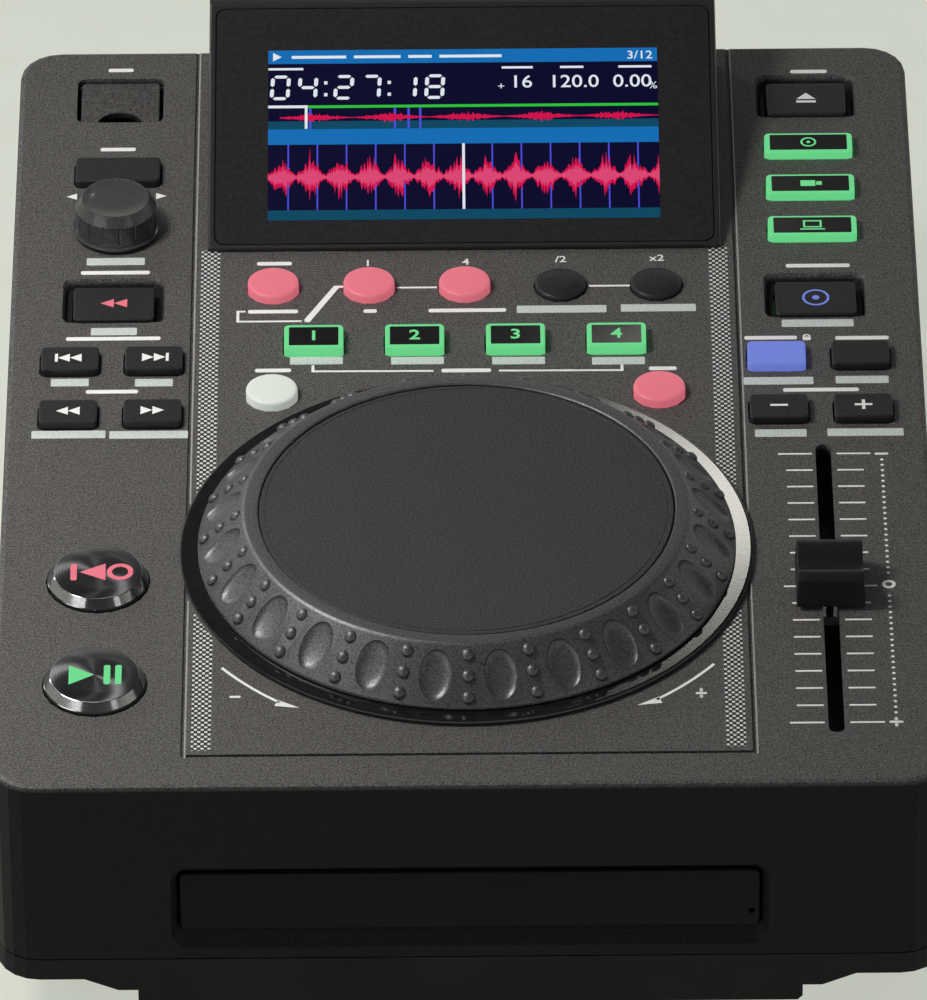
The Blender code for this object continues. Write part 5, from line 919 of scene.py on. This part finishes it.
def deck_print():
    """White print, greyer strips, the dotted strips and the painted highlight lines along the groove edges."""
    def at(x, y):
        return x * MM, FRONT + y * MM

    def bar(x, y, width, depth, corner=0.35):
        return flat(rounded(*at(x, y), width * MM, depth * MM, depth * MM * corner))

    def line(points, width=0.7):
        return flat(stroke([at(*point) for point in points], width * MM))

    ink = DECK_Z + 0.03 * MM
    strips = [(-84.1, 205.0, 14.0), (-84.0, 176.3, 11.0), (-94.1, 155.8, 9.0), (-74.1, 155.5, 9.0),
              (-94.0, 135.0, 17.5), (-75.0, 134.7, 18.6), (84.4, 177.4, 17.2), (74.4, 154.2, 16.6),
              (94.3, 154.4, 12.6), (74.4, 133.3, 12.2), (94.4, 133.4, 18.0), (23.2, 184.0, 21.5),
              (46.4, 184.2, 18.0), (-35.5, 163.8, 12.6), (-11.4, 163.5, 12.6), (12.7, 163.2, 12.6),
              (36.5, 162.8, 12.6)]
    print_on("strips", [bar(x, y, width, 3.0, 0.1) for x, y, width in strips], grey_ink, "case", ink)

    marks = []
    fader_x, zero = 84.4, 74.0
    for k in range(17):
        y = 125.0 - k * 6.44
        reach = 10.9 if k in (0, 8, 16) else 9.15
        for side in (-1, 1):
            marks.append(bar(fader_x + side * (reach + 2.9) / 2, y, reach - 2.9, 0.6))
    for k in range(22):
        for side in (-1, 1):
            marks.append(flat(arc(*at(97.9, zero + side * (4.4 + k * 2.1)), 0.42 * MM, 0, 330, 11)))
    marks.append(flat(stroke(arc(*at(97.9, zero), 1.2 * MM, 0, 358), 0.8 * MM)))
    marks.append(bar(97.9, 124.8, 3.2, 0.8))
    marks += [bar(97.9, 22.0, 3.2, 0.8), bar(97.9, 23.1, 0.8, 1.4), bar(97.9, 20.9, 0.8, 1.4)]

    marks += [line([(-52.6, 184.0), (-54.4, 184.0), (-54.4, 179.9), (-38.4, 179.9)], 0.7),
              flat([at(-39.6, 179.5), at(-37.2, 179.5), at(-30.2, 193.5), at(-29.2, 193.5), at(-29.2, 194.3),
                    at(-31.4, 194.3), at(-38.6, 180.3)]),
              line([(-16.3, 193.3), (-6.7, 193.3)]), line([(29.8, 193.4), (39.7, 193.4)]),
              line([(-36.3, 162.0), (-36.3, 159.5), (-7.6, 159.3)]),
              line([(8.0, 159.2), (37.3, 159.0), (37.3, 161.4)])]
    for text, x, y in (("1", -23.3, 203.4), ("4", 0.3, 203.6), ("/2", 23.2, 204.4), ("x2", 46.4, 204.6)):
        marks.append(figure(text, *at(x, y), 3.6 * MM, 0.05 * MM))

    for x, y, width in ((-46.0, 183.9, 12.0), (-22.7, 183.8, 3.2), (0.6, 183.8, 18.6), (-45.8, 203.6, 8.4),
                        (0.2, 159.4, 11.8), (-45.8, 160.0, 8.6), (47.0, 159.6, 6.6), (-84.3, 285.9, 6.2),
                        (-84.4, 252.0, 8.6), (-84.1, 200.4, 16.6), (-84.1, 173.4, 22.6), (-84.0, 152.0, 12.4),
                        (85.2, 283.0, 9.0), (85.1, 201.0, 15.4), (73.0, 171.6, 12.6), (94.8, 171.3, 12.8),
                        (84.4, 150.5, 18.0)):
        marks.append(bar(x, y, width, 1.5))
    padlock = (81.6, 171.4)
    marks += [bar(padlock[0], padlock[1] - 0.2, 2.0, 1.5),
              line(arc(padlock[0], padlock[1] + 0.5, 0.8, 0, 180, 10), 0.45)]
    for side in (-1, 1):
        x = -84.4 + side * 10.9
        marks.append(flat(triangle(*at(x, 232.2), side * 2.6 * MM, 2.6 * MM)))

    for side in (-1, 1):
        turns = [math.radians(degrees) for degrees in range(38, 54)]
        curve = [(side * 71.9 * math.cos(turn), 88.5 - 71.9 * math.sin(turn)) for turn in turns]
        marks.append(line(curve, 0.75))
        tip = curve[-1]
        marks.append(flat([at(tip[0] + side * 0.4, tip[1] + 1.0), at(tip[0] + side * 1.2, tip[1] - 1.3),
                           at(tip[0] - side * 4.6, tip[1] - 2.1)]))
        marks.append(bar(side * 53.5, 33.3, 2.6, 0.8))
    marks += [bar(53.5, 34.5, 0.8, 1.5), bar(53.5, 32.1, 0.8, 1.5)]
    print_on("print", marks, white_ink, "case", ink)

    ring = 67.4
    inner, outer, front, back = 58.8, 63.4, 13.4, 209.3
    dots = []
    for side in (-1, 1):
        near = [(x, 88.5 - math.sqrt(ring ** 2 - x ** 2)) for x in (inner + 0.46 * k for k in range(11))]
        far = [(x, 177.0 - y) for x, y in near]
        dots.append(flat([at(side * x, y) for x, y in [(outer, front)] + [(inner, front)] + near]))
        dots.append(flat([at(side * x, y) for x, y in [(outer, back)] + [(inner, back)] + far]))
    print_on("dotted_strips", dots, strip_dots, "case", DECK_Z + 0.02 * MM)

    # Pale strips at the grooves: painted highlight where light catches the groove walls.
    edges = []
    for x in (-64.75, 65.95):
        spread = math.sqrt(ring ** 2 - x ** 2)
        for first, last in ((10.6, 88.5 - spread), (88.5 + spread, 293.0)):
            low = (x * MM - 0.22 * MM, FRONT + first * MM, DECK_Z - 0.2 * MM)
            high = (x * MM + 0.22 * MM, FRONT + last * MM, DECK_Z + 0.06 * MM)
            edges.append(block("edge", low, high, corner=0.12 * MM, along=1, corner_steps=2))
    done(joined("groove_edge_highlights", edges), "case", groove_highlight_abs)


deck_print()


# ---- Rear connectors and underside ----
def phono(x, y, z, stuff, slot):
    """One audio socket: a coloured collar, a tinned sleeve and the insulator with its contact."""
    place = Matrix.Translation((x, y, z)) @ BACKWARD
    collar = turned("phono_collar", (0, 0, 0), [
        (4.25 * MM, 0), (5.4 * MM, 0), (5.4 * MM, 1.6 * MM), (5.1 * MM, 2.0 * MM), (4.4 * MM, 2.0 * MM),
        (4.25 * MM, 1.8 * MM), (4.25 * MM, 0)], 48, hole=True)
    sleeve = turned("phono_sleeve", (0, 0, 0), [
        (4.22 * MM, 2.0 * MM), (4.22 * MM, 7.6 * MM), (4.0 * MM, 8.05 * MM), (3.2 * MM, 8.05 * MM),
        (3.2 * MM, 8.0 * MM), (4.1 * MM, 7.4 * MM), (4.1 * MM, 2.0 * MM), (4.22 * MM, 2.0 * MM)], 48, hole=True)
    core = turned("phono_insulator", (0, 0, 0), [
        (1.75 * MM, 5.5 * MM), (3.1 * MM, 5.5 * MM), (3.1 * MM, 7.9 * MM), (2.9 * MM, 8.1 * MM), (2.0 * MM, 8.1 * MM),
        (1.75 * MM, 7.9 * MM), (1.75 * MM, 5.5 * MM)], 32, hole=True)
    for piece, finish, name in ((collar, stuff, slot), (sleeve, tinned, "bright_steel"), (core, stuff, slot)):
        piece.data.transform(place)
        done(piece, "case", finish)


def screw(place, radius):
    """A pan head with a cross recess, whose axis comes out of the face that it holds."""
    head = turned("screw_head", (0, 0, 0), [
        (radius, -0.2 * MM), (radius, 0.35 * MM), (radius * 0.85, 0.75 * MM), (radius * 0.5, 0.95 * MM),
        (radius * 0.1, MM)], 32)
    arm = radius * 0.55
    slots = [block("slot", (-arm, -0.28 * MM, 0.35 * MM), (arm, 0.28 * MM, 2 * MM)),
             block("slot", (-0.28 * MM, -arm, 0.35 * MM), (0.28 * MM, arm, 2 * MM))]
    combined(slots[0], slots[1], "UNION")
    combined(head, slots[0], "DIFFERENCE")
    head.data.transform(place)
    return head


def rear():
    low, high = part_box("audio_sockets")
    x, z = (low.x + high.x) / 2, (low.z + high.z) / 2
    # The collars and insulators reuse the lit keys' glowing materials, so they glow: a painted glow, as the sockets
    # hold no lamps.
    for side, stuff, slot in ((-1, lit_white, "lit_white"), (1, lit_red, "lit_red")):
        phono(x + side * 7.0 * MM, high.y - 8.0 * MM, z, stuff, slot)

    floor_y = high.y - 8.0 * MM
    usb_low, usb_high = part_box("usb_rear_socket")
    rocker_low, rocker_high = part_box("power_rocker")
    places = [((low.x + usb_high.x) / 2, low.z + MM), ((usb_low.x + rocker_high.x) / 2, high.z - MM),
              ((usb_low.x + rocker_high.x) / 2, low.z + MM)]
    heads = [screw(Matrix.Translation((px, floor_y, pz)) @ BACKWARD, 2.2 * MM) for px, pz in places]
    done(joined("bay_screws", heads), "case", steel)

    dash = block("rocker_on", (rocker_low.x + 3.6 * MM, rocker_high.y - 0.6 * MM, rocker_high.z - 5.4 * MM),
                 (rocker_high.x - 3.6 * MM, rocker_high.y - 0.15 * MM, rocker_high.z - 4.7 * MM),
                 corner=0.2 * MM, along=1)
    done(dash, "rocker", white_ink)


rear()


def underside():
    """Feet, each with a screw at the bottom of its well, and the screws that close the drive belly."""
    downward = Matrix.Rotation(math.pi, 4, "X")
    spigot = 6.0 * MM
    heads = []
    for name in ("foot_front_left", "foot_front_right", "foot_rear_left", "foot_rear_right"):
        low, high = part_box(name)
        x, y, tall = (low.x + high.x) / 2, (low.y + high.y) / 2, high.z - low.z - spigot
        wide = (high.x - low.x) / 2
        foot = turned(name + "_rubber", (x, y, low.z), [
            (4.4 * MM, 4.5 * MM), (4.4 * MM, 0.5 * MM), (4.9 * MM, 0), (wide - 1.8 * MM, 0),
            (wide - 1.2 * MM, 0.3 * MM), (wide - MM, 0.9 * MM), (wide - 0.2 * MM, tall - 1.2 * MM),
            (wide, tall - MM), (wide, tall), (4.0 * MM, tall), (4.0 * MM, tall + spigot)], 64)
        done(foot, "case", foot_rubber, (name,))
        heads.append(screw(Matrix.Translation((x, y, low.z + 4.5 * MM)) @ downward, 3.2 * MM))
    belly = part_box("bottom_case")[0].z
    for x in (-56.0 * MM, 56.0 * MM):
        for y in (FRONT + 60.0 * MM, FRONT + 150.0 * MM, FRONT + 235.0 * MM):
            heads.append(screw(Matrix.Translation((x, y, belly)) @ downward, 2.6 * MM))
    done(joined("underside_screws", heads), "case", steel)


underside()


# ---- Room, light and camera ----
def seen_by(tree):
    """1 for what the camera sees, also by reflection or through glass, and 0 for light on its way."""
    rays = add(tree, "LightPath")
    mirrored = add(tree, "Math", {0: rays.outputs["Is Camera Ray"], 1: rays.outputs["Is Glossy Ray"]},
                   operation="MAXIMUM")
    return add(tree, "Math", {0: mirrored.outputs[0], 1: rays.outputs["Is Transmission Ray"]},
               operation="MAXIMUM").outputs[0]


def backdrop(name, pale, lit, hidden):
    """Matt paper lit from within, on which a soft shadow is kept. It throws little light back on the object, as
    the photograph's front is dark."""
    made, tree, shader, spot = start(name, Roughness=0.9, Specular_IOR_Level=0.1)
    fibre = add(tree, "TexNoise", {"Vector": spot, "Scale": 60.0, "Detail": 3.0})
    paper = add(tree, "Mix", {"Factor": fibre.outputs["Fac"], "A": tint(pale), "B": tint("#D4D8CE")},
                data_type="RGBA")
    sight = seen_by(tree)
    color = add(tree, "Mix", {"Factor": sight, "A": tint(hidden), "B": tint(lit)}, data_type="RGBA")
    glow = add(tree, "Math", {0: sight, 1: 0.8}, operation="MULTIPLY")
    tree.links.new(color.outputs["Result"], shader.inputs["Base Color"])
    tree.links.new(paper.outputs["Result"], shader.inputs["Emission Color"])
    tree.links.new(glow.outputs[0], shader.inputs["Emission Strength"])
    return made


fresh()
bpy.ops.mesh.primitive_plane_add(size=12, location=(0, 0, -0.1 * MM))
floor = named("floor")
floor.data.materials.append(backdrop("paper_pale_matt", "#CCD0C4", "#868980", "#4A4A4A"))

world = bpy.data.worlds.new("studio")
bpy.context.scene.world = world
world.use_nodes = True
tree = world.node_tree
tree.nodes.clear()
# Pale paper stands up to about 20 degrees all round, and the dim studio is above it.
way = add(tree, "SeparateXYZ", {"Vector": add(tree, "TexCoord").outputs["Generated"]})
above = add(tree, "MapRange", {"Value": way.outputs["Z"], "From Min": 0.32, "From Max": 0.5})
view = add(tree, "Mix", {"Factor": above.outputs[0], "A": tint("#D2D6CC"), "B": tint("#4A4B4B")}, data_type="RGBA")
plain = add(tree, "Background", {"Color": tint("#F4F6FA"), "Strength": 0.16})
backing = add(tree, "Background", {"Color": view.outputs["Result"], "Strength": 1.0})
mixed = add(tree, "MixShader", {0: seen_by(tree), 1: plain.outputs[0], 2: backing.outputs[0]})
add(tree, "OutputWorld", {"Surface": mixed.outputs[0]})


def lamp(name, place, aim, size, power, code):
    fresh()
    bpy.ops.object.light_add(type="AREA", location=place)
    made = bpy.context.object
    made.name = name
    made.data.shape = "RECTANGLE"
    made.data.size, made.data.size_y = size
    made.data.energy = power
    made.data.color = tint(code)[:3]
    made.visible_camera = False
    made.rotation_euler = (Vector(aim) - Vector(place)).to_track_quat("-Z", "Y").to_euler()


lamp("key_light", (-0.26, -0.02, 0.46), (0, -0.02, 0.1), (0.12, 0.12), 1.6, "#FFFCF8")
lamp("back_left_light", (-1.0, 1.1, 0.85), (0, 0, 0.05), (0.12, 0.3), 2.7, "#FFFFFF")
lamp("front_left_box", (-0.96, -0.765, 0.71), (-0.09, -0.02, 0.1), (0.9, 0.3), 1.75, "#FFFFFF")
lamp("front_right_box", (0.70, -0.836, 0.733), (-0.09, -0.02, 0.1), (0.26, 0.3), 0.3, "#FFFFFF")
lamp("ring_light", (0.11, 1.77, 1.432), (0.055, -0.04, 0.076), (0.08, 0.067), 0.2, "#FFFDF4")

fresh()
bpy.ops.object.camera_add()
camera = bpy.context.object
camera.matrix_world = (Matrix.Translation(CAMERA_PLACE) @ Matrix.Rotation(math.pi / 2 - CAMERA_DOWN, 4, "X")
                       @ Matrix.Rotation(CAMERA_ROLL, 4, "Z"))
camera.data.sensor_fit = "VERTICAL"
camera.data.sensor_height = CAMERA_SENSOR
camera.data.lens = CAMERA_LENS
camera.data.clip_end = 30.0
bpy.context.scene.camera = camera
bpy.context.scene.view_settings.view_transform = "Standard"
